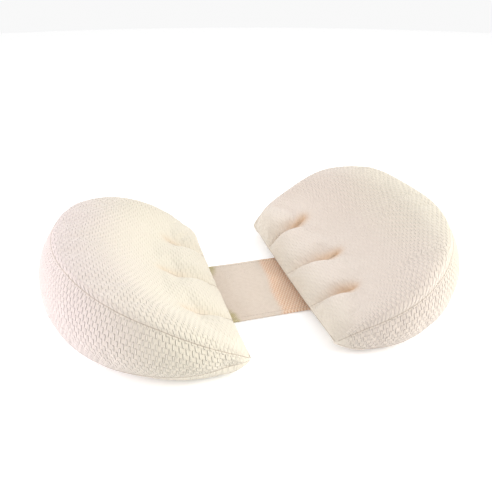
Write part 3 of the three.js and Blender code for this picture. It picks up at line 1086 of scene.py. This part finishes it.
@dataclass
class Cushion:
    """One padded wedge: its knit cover, the bag inside and the filling."""

    side: Side
    wardrobe: Wardrobe
    shape: WedgeShape = field(default_factory=WedgeShape)
    straight_at: float = 0.053
    columns: int = 193
    top_rows: int = 52
    gusset_rows: int = 22
    pressure: float = 4.0
    most_swell: float = 0.007
    far_fullness: float = 0.0
    lump_height: float = 0.0022
    ridge_height: float = 0.0008
    # How strong the painted warm shade in the dart creases is.
    fold_shade_strength: float = 0.5
    dart_hold: float = 0.004
    sewn_from: float = 0.965
    shell_end: float = 0.93
    bag_depth: float = 0.005
    filling_depth: float = 0.009
    seam_sink: float = 0.0001
    seam_radius: float = 0.00045
    steps: int = 20

    def base_lines(self) -> np.ndarray:
        """Gives the lines across the base, close together at the zip.

        Returns:
            Their x at the middle, in order.
        """
        near = [0.002, 0.005, 0.009, 0.014, 0.020, 0.027, 0.034]
        near += [0.045, 0.056, 0.067, 0.078, 0.089, 0.099, 0.108]
        slope = [0.114, 0.120, 0.126]
        before = (-15, -12, -9, -8, -7.3, -6.8, -3.4)
        after = (0, 3.4, 6.8, 7.3, 8, 9, 12, 15)
        zip_lines = [self.shape.zip_at + part / 1000 for part in before + after]
        far = [0.165, 0.170, 0.176, 0.182, 0.188, 0.193, 0.198, 0.202, 0.2055]
        return np.array(near + slope + zip_lines + far)

    def grid(self) -> tuple[np.ndarray, np.ndarray, np.ndarray]:
        """Lays out the whole surface as rings, each once round the cushion's section.

        Returns:
            The points, by column and place on the ring, the painted warm shade of the folds, and the
            columns' e.
        """
        e = np.linspace(-1.0, 1.0, self.columns + 2)[1:-1][:, None]
        u = (np.linspace(0.0, 1.0, self.top_rows + 1) ** 1.2)[None, :]
        v = np.linspace(1.0, 0.0, self.gusset_rows + 1)[1:][None, :]
        lines = self.base_lines()[::-1][None, :]
        top, fold_shade_share = self.shape.top(e + 0 * u, u + 0 * e)
        gusset = self.shape.gusset(e + 0 * v, v + 0 * e)
        base = self.shape.base(e + 0 * lines, lines + 0 * e)
        points = np.concatenate([top, gusset, base], 1)
        cool = np.zeros((len(points), points.shape[1] - fold_shade_share.shape[1]))
        warm = np.concatenate([fold_shade_share, cool], 1)
        return points, warm, e[:, 0]

    def weave(self, points: np.ndarray) -> tuple[np.ndarray, np.ndarray]:
        """Works out the flat-cloth coordinates of the rings.

        Args:
            points: the surface, by column and place on the ring.

        Returns:
            The coordinates on the top and the base, and those on the gusset.
        """
        flat = points[..., :2].copy()
        first, last = self.top_rows, self.top_rows + self.gusset_rows
        middle = points[:, (first + last) // 2]
        steps = np.linalg.norm(np.diff(middle, axis=0), axis=1)
        along = np.concatenate([[0.0], np.cumsum(steps)])
        down = np.linalg.norm(np.diff(points, axis=1, prepend=points[:, :1]), axis=2)
        run = np.cumsum(down, axis=1)
        flat[:, : first + 1, 0] = run[:, : first + 1]
        wall = np.stack([along[:, None] + 0 * run, run - run[:, first : first + 1]], -1)
        return flat, wall

    def cover_mesh(self, name: str, points: np.ndarray, poles: np.ndarray) -> bpy.types.Object:
        """Skins the rings into one closed surface.

        Args:
            name: the object's name.
            points: the rings.
            poles: the two end points.

        Returns:
            The object.
        """
        columns, ring = points.shape[:2]
        index = np.arange(columns * ring).reshape(columns, ring)
        after = np.roll(index, -1, 1)
        quads = np.stack([index[:-1], after[:-1], after[1:], index[1:]], -1).reshape(-1, 4)
        faces: list[Sequence[int]] = quads[:, ::-1].tolist()
        near, far = columns * ring, columns * ring + 1
        faces += [(index[0, j], after[0, j], near) for j in range(ring)]
        faces += [(after[-1, j], index[-1, j], far) for j in range(ring)]
        made = mesh_object(name, np.concatenate([points.reshape(-1, 3), poles]), faces)
        if self.volume(made) < 0:
            made.data.flip_normals()
        return made

    @staticmethod
    def volume(made: bpy.types.Object) -> float:
        """Gives the volume that an object's faces enclose, below 0 if they point inwards.

        Args:
            made: the object.

        Returns:
            The volume, in cubic metres.
        """
        shell = bmesh.new()
        shell.from_mesh(made.data)
        found = shell.calc_volume(signed=True)
        shell.free()
        return found

    def lay_weave(self, made: bpy.types.Object, points: np.ndarray) -> None:
        """Gives the cover its UV map in metres of flat cloth.

        Args:
            made: the cover, before it is subdivided.
            points: the rings it was made from.
        """
        flat, wall = self.weave(points)
        ring = points.shape[1]
        flat, wall = flat.reshape(-1, 2), wall.reshape(-1, 2)
        layer = made.data.uv_layers.new(name=WEAVE_MAP)
        first, last = self.top_rows, self.top_rows + self.gusset_rows
        for polygon in made.data.polygons:
            corners = list(polygon.vertices)
            places = [corner % ring for corner in corners if corner < len(flat)]
            on_wall = min(places) >= first and max(places) <= last
            source = wall if on_wall else flat
            known = [source[corner] for corner in corners if corner < len(flat)]
            middle = np.mean(known, 0)
            for loop, corner in zip(polygon.loop_indices, corners):
                layer.data[loop].uv = source[corner] if corner < len(flat) else middle

    def hold(self, points: np.ndarray, e: np.ndarray) -> np.ndarray:
        """Says how firmly each point is held while the cover is blown up.

        Args:
            points: the rings.
            e: the columns' places along the seams.

        Returns:
            From 0, free, to 1, fixed, by column and place on the ring.
        """
        held = np.zeros(points.shape[:2])
        first, last = self.top_rows, self.top_rows + self.gusset_rows
        held[:, 0] = 1.0
        held[:, first] = 1.0
        held[:, last:] = 1.0
        held[np.abs(e) > self.sewn_from] = 1.0
        for dart in self.shape.darts:
            along, away = dart.place(points[:, :first, 0], points[:, :first, 1])
            line = np.clip(1.0 - away / self.dart_hold, 0.0, 1.0)
            line = line * (1.0 - smooth((along - 0.5) / 0.5))
            held[:, :first] = np.maximum(held[:, :first], line)
        return held

    def blow_up(self, made: bpy.types.Object, held: np.ndarray) -> None:
        """Fills the cover by cloth simulation, between the seams that hold it.

        Args:
            made: the cover.
            held: how firmly each of its points is held.
        """
        start = points_of(made)
        group = made.vertex_groups.new(name="sewn")
        for index, weight in enumerate(held):
            if weight > 0.01:
                group.add([index], float(weight), "REPLACE")
        cloth = made.modifiers.new("cloth", "CLOTH")
        for setting, value in KNIT_CLOTH.items():
            setattr(cloth.settings, setting, value)
        cloth.settings.uniform_pressure_force = self.pressure
        cloth.settings.effector_weights.gravity = 0.0
        cloth.collision_settings.use_collision = False
        cloth.point_cache.frame_start = 1
        cloth.point_cache.frame_end = self.steps
        scene = bpy.context.scene
        for step in range(1, self.steps + 1):
            scene.frame_set(step)
        shown = made.evaluated_get(bpy.context.evaluated_depsgraph_get())
        blown = np.zeros(len(start) * 3)
        shown.data.vertices.foreach_get("co", blown)
        made.modifiers.remove(cloth)
        made.vertex_groups.clear()
        scene.frame_set(1)
        push = blown.reshape(-1, 3) - start
        far = np.linalg.norm(push, axis=1)
        limit = self.most_swell * np.tanh(far / self.most_swell)
        push *= (limit / np.maximum(far, 1e-9))[:, None]
        place_points(made, start + push)
        LOG.info("%s swelled by up to %.1f mm", made.name, 1000 * limit.max())

    def fullness(self, points: np.ndarray) -> np.ndarray:
        """Lets hand-packed filling stand a little uneven, and fuller at one end.

        Args:
            points: of the cover, in the right half's place.

        Returns:
            The moved points.
        """
        moved = points.copy()
        seed = 3.1 if self.side is Side.RIGHT else 11.7
        soft = lumps(moved, 12, (seed, 0.0))
        ridge = lumps(moved, 34, (0.0, seed))
        loose = smooth((moved[:, 2] - 0.016) / 0.03)
        moved[:, 2] += (self.lump_height * soft + self.ridge_height * ridge) * loose
        beside = np.abs(moved[:, 1])
        reach = smooth((beside - 0.03) / 0.09) * smooth((0.188 - beside) / 0.03)
        end = np.where(moved[:, 1] * self.side.sign > 0, 1.0, 0.0)
        moved[:, 2] += self.far_fullness * reach * end * smooth((moved[:, 2] - 0.012) / 0.03)
        return moved

    def inner_shell(
        self, name: str, points: np.ndarray, e: np.ndarray, depth: float
    ) -> bpy.types.Object:
        """Makes a closed skin inside the cover.

        Args:
            name: the object's name.
            points: the cover's rings.
            e: the columns' places along the seams.
            depth: how far inside the cover it lies.

        Returns:
            The object.
        """
        kept = points[np.abs(e) < self.shell_end][::2, ::2]
        poles = np.stack([kept[0].mean(0), kept[-1].mean(0)])
        made = self.cover_mesh(name, kept, poles)
        place = points_of(made)
        normals = np.zeros(len(place) * 3)
        made.data.vertices.foreach_get("normal", normals)
        sunk = place - normals.reshape(-1, 3) * depth
        sunk[:, 2] = np.maximum(sunk[:, 2], depth * 0.6)
        place_points(made, sunk)
        return made

    def dart_path(self, top: np.ndarray, dart: Dart) -> np.ndarray:
        """Follows a dart over the top panel.

        Args:
            top: the top panel's points, by column and row.
            dart: the dart.

        Returns:
            Points along it, from the straight seam to just before its end.
        """
        places = []
        for share in np.linspace(0.02, 0.93, 26):
            x = self.straight_at + dart.root[0] + share * (dart.apex[0] - dart.root[0])
            y = dart.root[1] + share * (dart.apex[1] - dart.root[1])
            away = np.hypot(top[..., 0] - x, top[..., 1] - y)
            nearest = top.reshape(-1, 3)[away.ravel().argmin()]
            places.append((x, y, nearest[2]))
        return np.array(places)

    def seam_line(self, name: str, cover: bpy.types.Object, path: np.ndarray) -> None:
        """Lays a sewn line in the valley between two panels.

        Args:
            name: the piece's name.
            cover: the finished cover.
            path: where the panels meet.
        """
        tree = BVHTree.FromObject(cover, bpy.context.evaluated_depsgraph_get())
        laid = []
        for place in path:
            near, normal, _, _ = tree.find_nearest(Vector(place))
            laid.append(near - normal * self.seam_sink)
        made = tube(name, np.array(laid), self.seam_radius)
        line = settle(made, name, self.wardrobe.seam)
        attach(line, f"cushion_{self.side.value}")

    def build(self) -> None:
        """Makes the cushion's pieces."""
        name = self.side.value
        points, warm, e = self.grid()
        points[..., 0] += self.straight_at
        half = self.shape.straight_seam / 2
        tip = self.shape.corner_height - 0.0005
        poles = np.array([[self.straight_at, -half, tip], [self.straight_at, half, tip]])
        cover = self.cover_mesh(f"padded_cover_{name}", points, poles)
        local = points.copy()
        local[..., 0] -= self.straight_at
        self.lay_weave(cover, local)
        count = points.shape[0] * points.shape[1]
        held = np.concatenate([self.hold(local, e).ravel(), [1.0, 1.0]])
        self.blow_up(cover, held)
        place_points(cover, self.fullness(points_of(cover)))
        self.store_looks(cover, local, warm)
        rings = points_of(cover)[:count].reshape(points.shape)
        rim, hem = self.top_rows, self.top_rows + self.gusset_rows
        seams = {"rim": rings[:, rim], "hem": rings[:, hem], "straight": rings[:, 0]}
        bag = self.inner_shell(f"inner_bag_{name}", rings, e, self.bag_depth)
        filling = self.inner_shell(f"filling_{name}", rings, e, self.filling_depth)
        apply_modifier(cover, "SUBSURF", levels=1, render_levels=1)
        self.dress(cover, self.wardrobe.knit)
        self.dress(bag, self.wardrobe.bag)
        self.dress(filling, self.wardrobe.fibre)
        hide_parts(f"cover_top_{name}", f"cover_gusset_{name}", f"cover_base_{name}")
        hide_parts(f"liner_top_{name}", f"liner_base_{name}")
        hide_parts(f"fill_{name}")
        # Each dart gets a line of the darker seam thread: the stitching is real, and its dark line
        # also stands in for the shade in the crease.
        for number, dart in enumerate(self.shape.darts, 1):
            seams[f"dart_{number}"] = self.dart_path(rings[:, : rim + 1], dart)
        for label, path in seams.items():
            self.seam_line(f"seam_{label}_{name}", cover, self.side.turned(path))
        LOG.info("cushion %s: %d faces in the cover", name, len(cover.data.polygons))

    def store_looks(self, cover: bpy.types.Object, local: np.ndarray, warm: np.ndarray) -> None:
        """Stores how the knit looks at each point.

        Args:
            cover: the cover, before it is subdivided.
            local: the rings, measured from the straight seam.
            warm: how much painted warm shade of the dart creases shows on them.
        """
        rows = np.arange(local.shape[1])
        first, last = self.top_rows, self.top_rows + self.gusset_rows
        u = np.clip(rows / first, 0.0, 1.0) ** 1.2
        grain = np.where(rows <= first, 0.30 + 0.55 * smooth((u - 0.45) / 0.45), 1.0)
        grain = np.where(rows > last, 0.45, grain)
        relief = np.broadcast_to(grain[None, :], local.shape[:2])
        fade = smooth((1.0 - np.abs(np.linspace(-1, 1, local.shape[0]))) / 0.06)
        store(cover, RELIEF, np.concatenate([(relief * fade[:, None]).ravel(), [0.0, 0.0]]))
        store(cover, WARM_SHADE, np.concatenate([self.fold_shade_strength * warm.ravel(), [0.0, 0.0]]))

    def dress(self, made: bpy.types.Object, material: bpy.types.Material) -> None:
        """Gives a soft piece its finish, its side and its body.

        Args:
            made: the piece, in the right half's place.
            material: its finish.
        """
        settle(made, made.name, material, self.side)
        made.data.polygons.foreach_set("use_smooth", [True] * len(made.data.polygons))
        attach(made, f"cushion_{self.side.value}")


# ------------------------------------------------------------------ band


@dataclass
class BandHalf:
    """Half of the connecting band, from its middle to its hidden end under a cushion."""

    side: Side
    wardrobe: Wardrobe
    length: float = 0.131
    width: float = 0.150
    thickness: float = 0.0029
    middle_height: float = 0.00165
    fold_at: float = 0.025
    corner: float = 0.008
    stitch_margin: float = 0.006
    stitch_pitch: float = 0.0042
    stitch_share: float = 0.74
    stitch_radius: float = 0.00035
    fold_half: float = 0.006
    shade_start: float = 0.0185
    shade_slant: float = 0.10
    shade_width: float = 0.016
    olive_shade_at: tuple[float, float] = (0.052, 0.073)
    olive_shade_reach: tuple[float, float] = (0.014, 0.030)

    def cloth(self) -> bpy.types.Object:
        """Models the two sewn plies as one soft sheet.

        Returns:
            The sheet, in the right half's place.
        """
        bpy.ops.object.select_all(action="DESELECT")
        centre = (self.length / 2, 0.0, self.middle_height)
        bpy.ops.mesh.primitive_grid_add(
            x_subdivisions=60, y_subdivisions=60, size=1.0, location=centre
        )
        made = bpy.context.active_object
        with editing():
            bpy.ops.transform.resize(value=(self.length, self.width, 1.0), center_override=centre)
        made.data.transform(made.matrix_world)
        made.matrix_world = Matrix.Identity(4)
        place_points(made, self.rounded(self.crowded(points_of(made))))
        self.lay_weave(made)
        apply_modifier(made, "SOLIDIFY", thickness=self.thickness, offset=0.0, use_even_offset=True)
        place_points(made, self.sewn(points_of(made)))
        return made

    def crowded(self, points: np.ndarray) -> np.ndarray:
        """Draws the grid's lines closer together toward the sewn edges.

        Args:
            points: of the flat grid.

        Returns:
            The moved points.
        """
        moved = points.copy()
        part = moved[:, 1] / (self.width / 2)
        moved[:, 1] = self.width / 2 * np.sin(part * math.pi / 2)
        share = moved[:, 0] / self.length
        moved[:, 0] = self.length * np.sin(share * math.pi / 2)
        return moved

    def rounded(self, points: np.ndarray) -> np.ndarray:
        """Rounds the two corners of the hidden end.

        Args:
            points: of the flat grid.

        Returns:
            The moved points.
        """
        moved = points.copy()
        start = np.array([self.length - self.corner, self.width / 2 - self.corner])
        over = np.stack([moved[:, 0] - start[0], np.abs(moved[:, 1]) - start[1]], -1)
        inside = (over > 0).all(1)
        far = np.linalg.norm(over, axis=1)
        most = over.max(1)
        scale = np.where(inside & (far > 0), most / np.maximum(far, 1e-9), 1.0)
        way = np.sign(moved[:, 1])
        moved[:, 0] = np.where(inside, start[0] + over[:, 0] * scale, moved[:, 0])
        moved[:, 1] = np.where(inside, way * (start[1] + over[:, 1] * scale), moved[:, 1])
        return moved

    def sewn(self, points: np.ndarray) -> np.ndarray:
        """Presses the cloth in along its stitching and lets it lie a little uneven.

        Args:
            points: of the thickened sheet.

        Returns:
            The moved points.
        """
        moved = points.copy()
        inset = np.minimum(self.width / 2 - np.abs(moved[:, 1]), self.length - moved[:, 0])
        pressed = np.exp(-(((inset - self.stitch_margin) / 0.0014) ** 2))
        edge = np.clip(inset / 0.0016, 0.0, 1.0)
        plump = (1.0 - 0.24 * pressed) * (0.35 + 0.65 * np.sqrt(1.0 - (1.0 - edge) ** 2))
        moved[:, 2] = self.middle_height + (moved[:, 2] - self.middle_height) * plump
        wave = np.array([noise.noise(Vector((30 * x, 22 * y, 0.4))) for x, y, _ in moved])
        shown = smooth((0.05 - np.abs(moved[:, 0])) / 0.01)
        moved[:, 2] += 0.00012 * wave * shown
        return moved

    def lay_weave(self, made: bpy.types.Object) -> None:
        """Gives the cloth its UV map, and its painted warm shade near the cushion.

        Args:
            made: the flat sheet.
        """
        layer = made.data.uv_layers.active or made.data.uv_layers.new(name=WEAVE_MAP)
        layer.name = WEAVE_MAP
        points = points_of(made)
        for loop in made.data.loops:
            layer.data[loop.index].uv = points[loop.vertex_index][:2]
        # Painted warm shade and warm reflected light beside the cushion: strong on the right half,
        # faint on the left.
        strength = 0.9 if self.side is Side.RIGHT else 0.12
        x, y = points[:, 0], points[:, 1]
        edge = self.shade_start + 0.0015 * np.sin(70 * y) + self.shade_slant * y * self.side.sign
        store(made, WARM_SHADE, strength * smooth((x - edge) / self.shade_width))
        # Painted yellow-green shade at the band's corners by the left cushion; none on the right
        # half.
        (olive_shade_x, olive_shade_y), (reach_x, reach_y) = self.olive_shade_at, self.olive_shade_reach
        corner = np.hypot((x - olive_shade_x) / reach_x, (np.abs(y) - olive_shade_y) / reach_y)
        olive_shade = 0.9 * smooth((1.3 - corner) / 0.9) if self.side is Side.LEFT else 0.0 * x
        store(made, OLIVE_SHADE, olive_shade)

    def stitches(self) -> bpy.types.Object:
        """Models the thread that sews the plies together, one stitch after another.

        Returns:
            Both rows as one object.
        """
        made = []
        count = int((self.length - 0.012) / self.stitch_pitch)
        top = self.middle_height + self.thickness / 2
        rows = [(edge * (self.width / 2 - self.stitch_margin)) for edge in (-1, 1)]
        bpy.ops.object.select_all(action="DESELECT")
        bpy.ops.mesh.primitive_cylinder_add(
            vertices=6,
            radius=self.stitch_radius,
            depth=self.stitch_pitch * self.stitch_share,
            location=(0, 0, 0),
            rotation=(0, math.pi / 2, 0),
        )
        stitch = bpy.context.active_object
        bpy.ops.object.transform_apply(location=True, rotation=True, scale=True)
        with editing():
            bpy.ops.mesh.bevel(offset=0.0002, segments=1, affect="EDGES")
        for row in rows:
            copy = stitch.copy()
            copy.data = stitch.data.copy()
            bpy.context.scene.collection.objects.link(copy)
            copy.location = (self.stitch_pitch / 2, row, top - 0.00036)
            repeat(copy, count, (self.stitch_pitch, 0.0, 0.0))
            made.append(copy)
        bpy.data.objects.remove(stitch)
        return join_all(made)

    def build(self) -> None:
        """Makes this half's pieces."""
        name = self.side.value
        cloth = settle(self.cloth(), f"band_cloth_{name}", self.wardrobe.band, self.side)
        thread = settle(self.stitches(), f"band_stitches_{name}", self.wardrobe.stitch, self.side)
        near = self.side.at(self.fold_at - self.fold_half, 0.0, self.middle_height)
        far = self.side.at(self.fold_at + self.fold_half, 0.0, self.middle_height)
        for piece in (cloth, thread):
            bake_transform(piece)
        middle = ("band_face_middle", "band_backing_middle")
        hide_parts(f"band_face_{name}", f"band_backing_{name}", *middle)
        LOG.info("band %s: %d faces", name, len(cloth.data.polygons))


# ------------------------------------------------------------------ zip


@dataclass
class Zip:
    """The zip in the base of one cover."""

    side: Side
    wardrobe: Wardrobe
    middle: float = 0.1986
    half: float = 0.0875
    parting: float = 0.0012
    coil: float = 0.0015
    coil_height: float = 0.0013
    coil_floor: float = 0.0054
    pitch: float = 0.0014
    slider_at: float = 0.082
    slider_half: tuple[float, float] = (0.004, 0.0045)
    slider_floor: float = 0.0040
    slider_top: float = 0.0081
    plate: float = 0.0011
    post_half: float = 0.0003
    rail_sides: tuple[float, float] = (0.0024, 0.0033)
    rail_top: float = 0.0067
    bail_half: tuple[float, float] = (0.0008, 0.004)
    bail_floor: float = 0.0013
    bail_wire: float = 0.0008
    pull_half: float = 0.0006
    pull_axis: tuple[float, float] = (0.0018, 0.0030)

    def fit(self, made: bpy.types.Object, name: str, body: str, node: str, slot: str) -> None:
        """Names a piece of the zip, gives it its finish and fits it to the pillow.

        Args:
            made: the piece, in the right half's place.
            name: its name, without the side.
            body: what it rides on, without the side.
            node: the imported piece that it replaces, without the side.
            slot: the record's material slot.
        """
        side = self.side.value
        material = self.wardrobe.nylon if slot == "zip_teeth" else self.wardrobe.metal
        piece = settle(made, f"{name}_{side}", material, self.side)
        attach(piece, f"{body}_{side}")
        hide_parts(f"{node}_{side}")

    def teeth(self, label: str, away: int) -> None:
        """Models one row of coil.

        Args:
            label: inner or outer.
            away: -1 for the row nearer the straight seam, 1 for the other.
        """
        centre = (
            self.middle + away * (self.parting / 2 + self.coil / 2),
            -self.half + self.pitch / 2,
            self.coil_floor + self.coil_height / 2,
        )
        bpy.ops.object.select_all(action="DESELECT")
        bpy.ops.mesh.primitive_torus_add(
            location=centre,
            rotation=(math.pi / 2, 0, 0),
            major_segments=10,
            minor_segments=5,
            major_radius=self.coil_height * 0.36,
            minor_radius=self.coil_height * 0.14,
        )
        made = bpy.context.active_object
        stretch = (self.coil / self.coil_height, 1.0, 1.0)
        with editing():
            bpy.ops.transform.resize(value=stretch, center_override=centre)
        bpy.ops.object.transform_apply(location=True, rotation=True, scale=True)
        repeat(made, int(2 * self.half / self.pitch), (0.0, self.pitch, 0.0))
        self.fit(made, f"zip_coil_{label}", "cushion", f"zip_teeth_{label}", "zip_teeth")

    def slider(self) -> None:
        """Models the slider: two plates on a post, side rails and the bail."""
        x, y = self.middle, self.slider_at
        wide, long = self.slider_half
        near, far = y - long, y + long
        floor, top, plate = self.slider_floor, self.slider_top, self.plate
        post, (inner, outer) = self.post_half, self.rail_sides
        narrow, reach = self.bail_half
        low, high = self.bail_floor, self.bail_floor + self.bail_wire
        leg_top, leg = floor + 0.0002, reach - self.bail_wire
        parts = [
            beam((x - wide, near, floor), (x + wide, far, floor + plate), 0.0004),
            beam((x - wide, near, top), (x + wide, far, top + plate), 0.0004),
            beam((x - post, far - 0.003, floor), (x + post, far - 0.0005, top + plate), 0.0001),
            beam((x - outer, near, floor), (x - inner, far, self.rail_top), 0.0003),
            beam((x + inner, near, floor), (x + outer, far, self.rail_top), 0.0003),
            beam((x - narrow, y - reach, low), (x + narrow, y + reach, high), 0.0003),
            beam((x - narrow, y - reach, low), (x + narrow, y - leg, leg_top), 0.0002),
            beam((x - narrow, y + leg, low), (x + narrow, y + reach, leg_top), 0.0002),
        ]
        self.fit(join_all(parts), "zip_slider_body", "slider", "zip_slider", "zip_metal")

    def pull(self) -> None:
        """Models the pull: a flat tab with an eye that hangs on the bail."""
        x, y, z = self.middle, self.slider_at + self.pull_axis[0], self.pull_axis[1]
        half = self.pull_half
        low, high, top = z - half, z + half, y + half
        panel = half + 0.0002
        parts = [
            beam((x - 0.0024, y - half, low), (x + 0.0024, top, high), 0.00025),
            beam((x - 0.0026, y - 0.0075, low), (x - 0.0014, top, high), 0.0003),
            beam((x + 0.0014, y - 0.0075, low), (x + 0.0026, top, high), 0.0003),
            beam((x - 0.0034, y - 0.0240, low), (x + 0.0034, y - 0.0066, high), 0.0005),
            beam((x - 0.0022, y - 0.0222, z - panel), (x + 0.0022, y - 0.0100, z + panel), 0.0003),
        ]
        self.fit(join_all(parts), "zip_pull_tab", "pull", "zip_pull", "zip_metal")

    def build(self) -> None:
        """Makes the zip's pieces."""
        self.teeth("inner", -1)
        self.teeth("outer", 1)
        self.slider()
        self.pull()
        LOG.info("zip %s", self.side.value)


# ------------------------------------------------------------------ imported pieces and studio


def dress_packed(wardrobe: Wardrobe) -> None:
    """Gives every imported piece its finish.

    Args:
        wardrobe: the finishes.
    """
    finishes = {
        "hook_patch": wardrobe.hooks,
        "loop_patch": wardrobe.loops,
        "zip_tape": wardrobe.zip_tape,
        "zip_teeth": wardrobe.nylon,
        "zip": wardrobe.metal,
        "cover": wardrobe.bag,
        "liner": wardrobe.bag,
        "fill": wardrobe.fibre,
        "band": wardrobe.zip_tape,
    }
    for name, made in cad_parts.items():
        finish = next(finish for start, finish in finishes.items() if name.startswith(start))
        made.data.materials.clear()
        made.data.materials.append(finish)


@dataclass
class Studio:
    """The floor, the soft lights and the camera."""

    azimuth: float = -0.281
    elevation: float = 0.486
    distance: float = 0.7807
    target: Point = (0.0024, 0.0432, 0.0482)
    lens: float = 38.08
    room_light: float = 0.945
    front_light: float = 0.58
    floor_radius: float = 4.0
    floor_gap: float = 0.0006

    def softbox(
        self, name: str, place: Point, aim: Point, size: float, watts: float, colour: Colour
    ) -> None:
        """Hangs a square softbox.

        Args:
            name: its name.
            place: where it hangs.
            aim: what it points at.
            size: its side.
            watts: its power.
            colour: its light.
        """
        light = bpy.data.lights.new(name, "AREA")
        light.shape = "SQUARE"
        light.size = size
        light.energy = watts
        light.color = colour
        made = bpy.data.objects.new(name, light)
        made.location = place
        made.rotation_euler = (Vector(aim) - Vector(place)).to_track_quat("-Z", "Y").to_euler()
        bpy.context.scene.collection.objects.link(made)

    def paint_surround(self, tree: bpy.types.NodeTree) -> None:
        """Lights the room from all round, more from above and behind than from the front.

        Args:
            tree: the world's node tree.
        """
        tree.nodes["Background"].inputs["Color"].default_value = (1.0, 1.0, 1.0, 1.0)
        place = tree.nodes.new("ShaderNodeTexCoord")
        parts = tree.nodes.new("ShaderNodeSeparateXYZ")
        depth = tree.nodes.new("ShaderNodeMapRange")
        depth.inputs["From Min"].default_value = -1.0
        depth.inputs["From Max"].default_value = 0.25
        depth.inputs["To Min"].default_value = self.front_light
        depth.inputs["To Max"].default_value = self.room_light
        tree.links.new(place.outputs["Generated"], parts.inputs[0])
        tree.links.new(parts.outputs["Y"], depth.inputs["Value"])
        tree.links.new(depth.outputs[0], tree.nodes["Background"].inputs["Strength"])

    def build(self) -> None:
        """Sets up the studio."""
        scene = bpy.context.scene
        bpy.ops.object.select_all(action="DESELECT")
        place = (0, 0, -self.floor_gap)
        bpy.ops.mesh.primitive_circle_add(
            vertices=96, radius=self.floor_radius, fill_type="NGON", location=place
        )
        floor = bpy.context.active_object
        floor.name = "studio_floor"
        floor.data.materials.append(StudioFloor("studio_floor_pale").build())
        world = bpy.data.worlds.new("studio_world")
        world.use_nodes = True
        self.paint_surround(world.node_tree)
        scene.world = world
        warm, pink_light, neutral = (1.0, 0.985, 0.955), (1.0, 0.95, 0.985), (1.0, 0.99, 0.97)
        self.softbox("key_softbox", (1.6, -0.75, 0.95), (0.0, 0.0, 0.05), 1.5, 42.0, warm)
        self.softbox("fill_softbox", (-1.4, 0.1, 0.5), (-0.15, 0.0, 0.05), 0.9, 17.0, pink_light)
        self.softbox("back_softbox", (0.1, 1.4, 1.3), (0.0, 0.1, 0.05), 1.3, 3.0, neutral)
        scene.view_settings.view_transform = "Standard"
        back = Vector(
            (
                math.sin(self.azimuth) * math.cos(self.elevation),
                -math.cos(self.azimuth) * math.cos(self.elevation),
                math.sin(self.elevation),
            )
        )
        data = bpy.data.cameras.new("camera")
        data.lens = self.lens
        data.sensor_width = 36.0
        camera = bpy.data.objects.new("camera", data)
        camera.location = Vector(self.target) + back * self.distance
        camera.rotation_euler = (-back).to_track_quat("-Z", "Y").to_euler()
        scene.collection.objects.link(camera)
        scene.camera = camera


def main() -> None:
    """Builds the pillow and the studio."""
    logging.basicConfig(level=logging.INFO, format="%(name)s: %(message)s")
    Studio().build()
    wardrobe = Wardrobe()
    dress_packed(wardrobe)
    sagging = WedgeShape(near_slip=0.012)
    plump = WedgeShape(
        near_hem=0.012, edge_puff=0.025, pad_height=0.003, crease_share=0.46, dish=1.5
    )
    cushions = (
        Cushion(Side.RIGHT, wardrobe, sagging, far_fullness=0.0135, fold_shade_strength=0.62),
        Cushion(Side.LEFT, wardrobe, plump, far_fullness=0.002, fold_shade_strength=0.22),
    )
    for cushion in cushions:
        cushion.build()
    for side in Side:
        BandHalf(side, wardrobe).build()
        Zip(side, wardrobe).build()


if __name__ == "__main__":
    main()
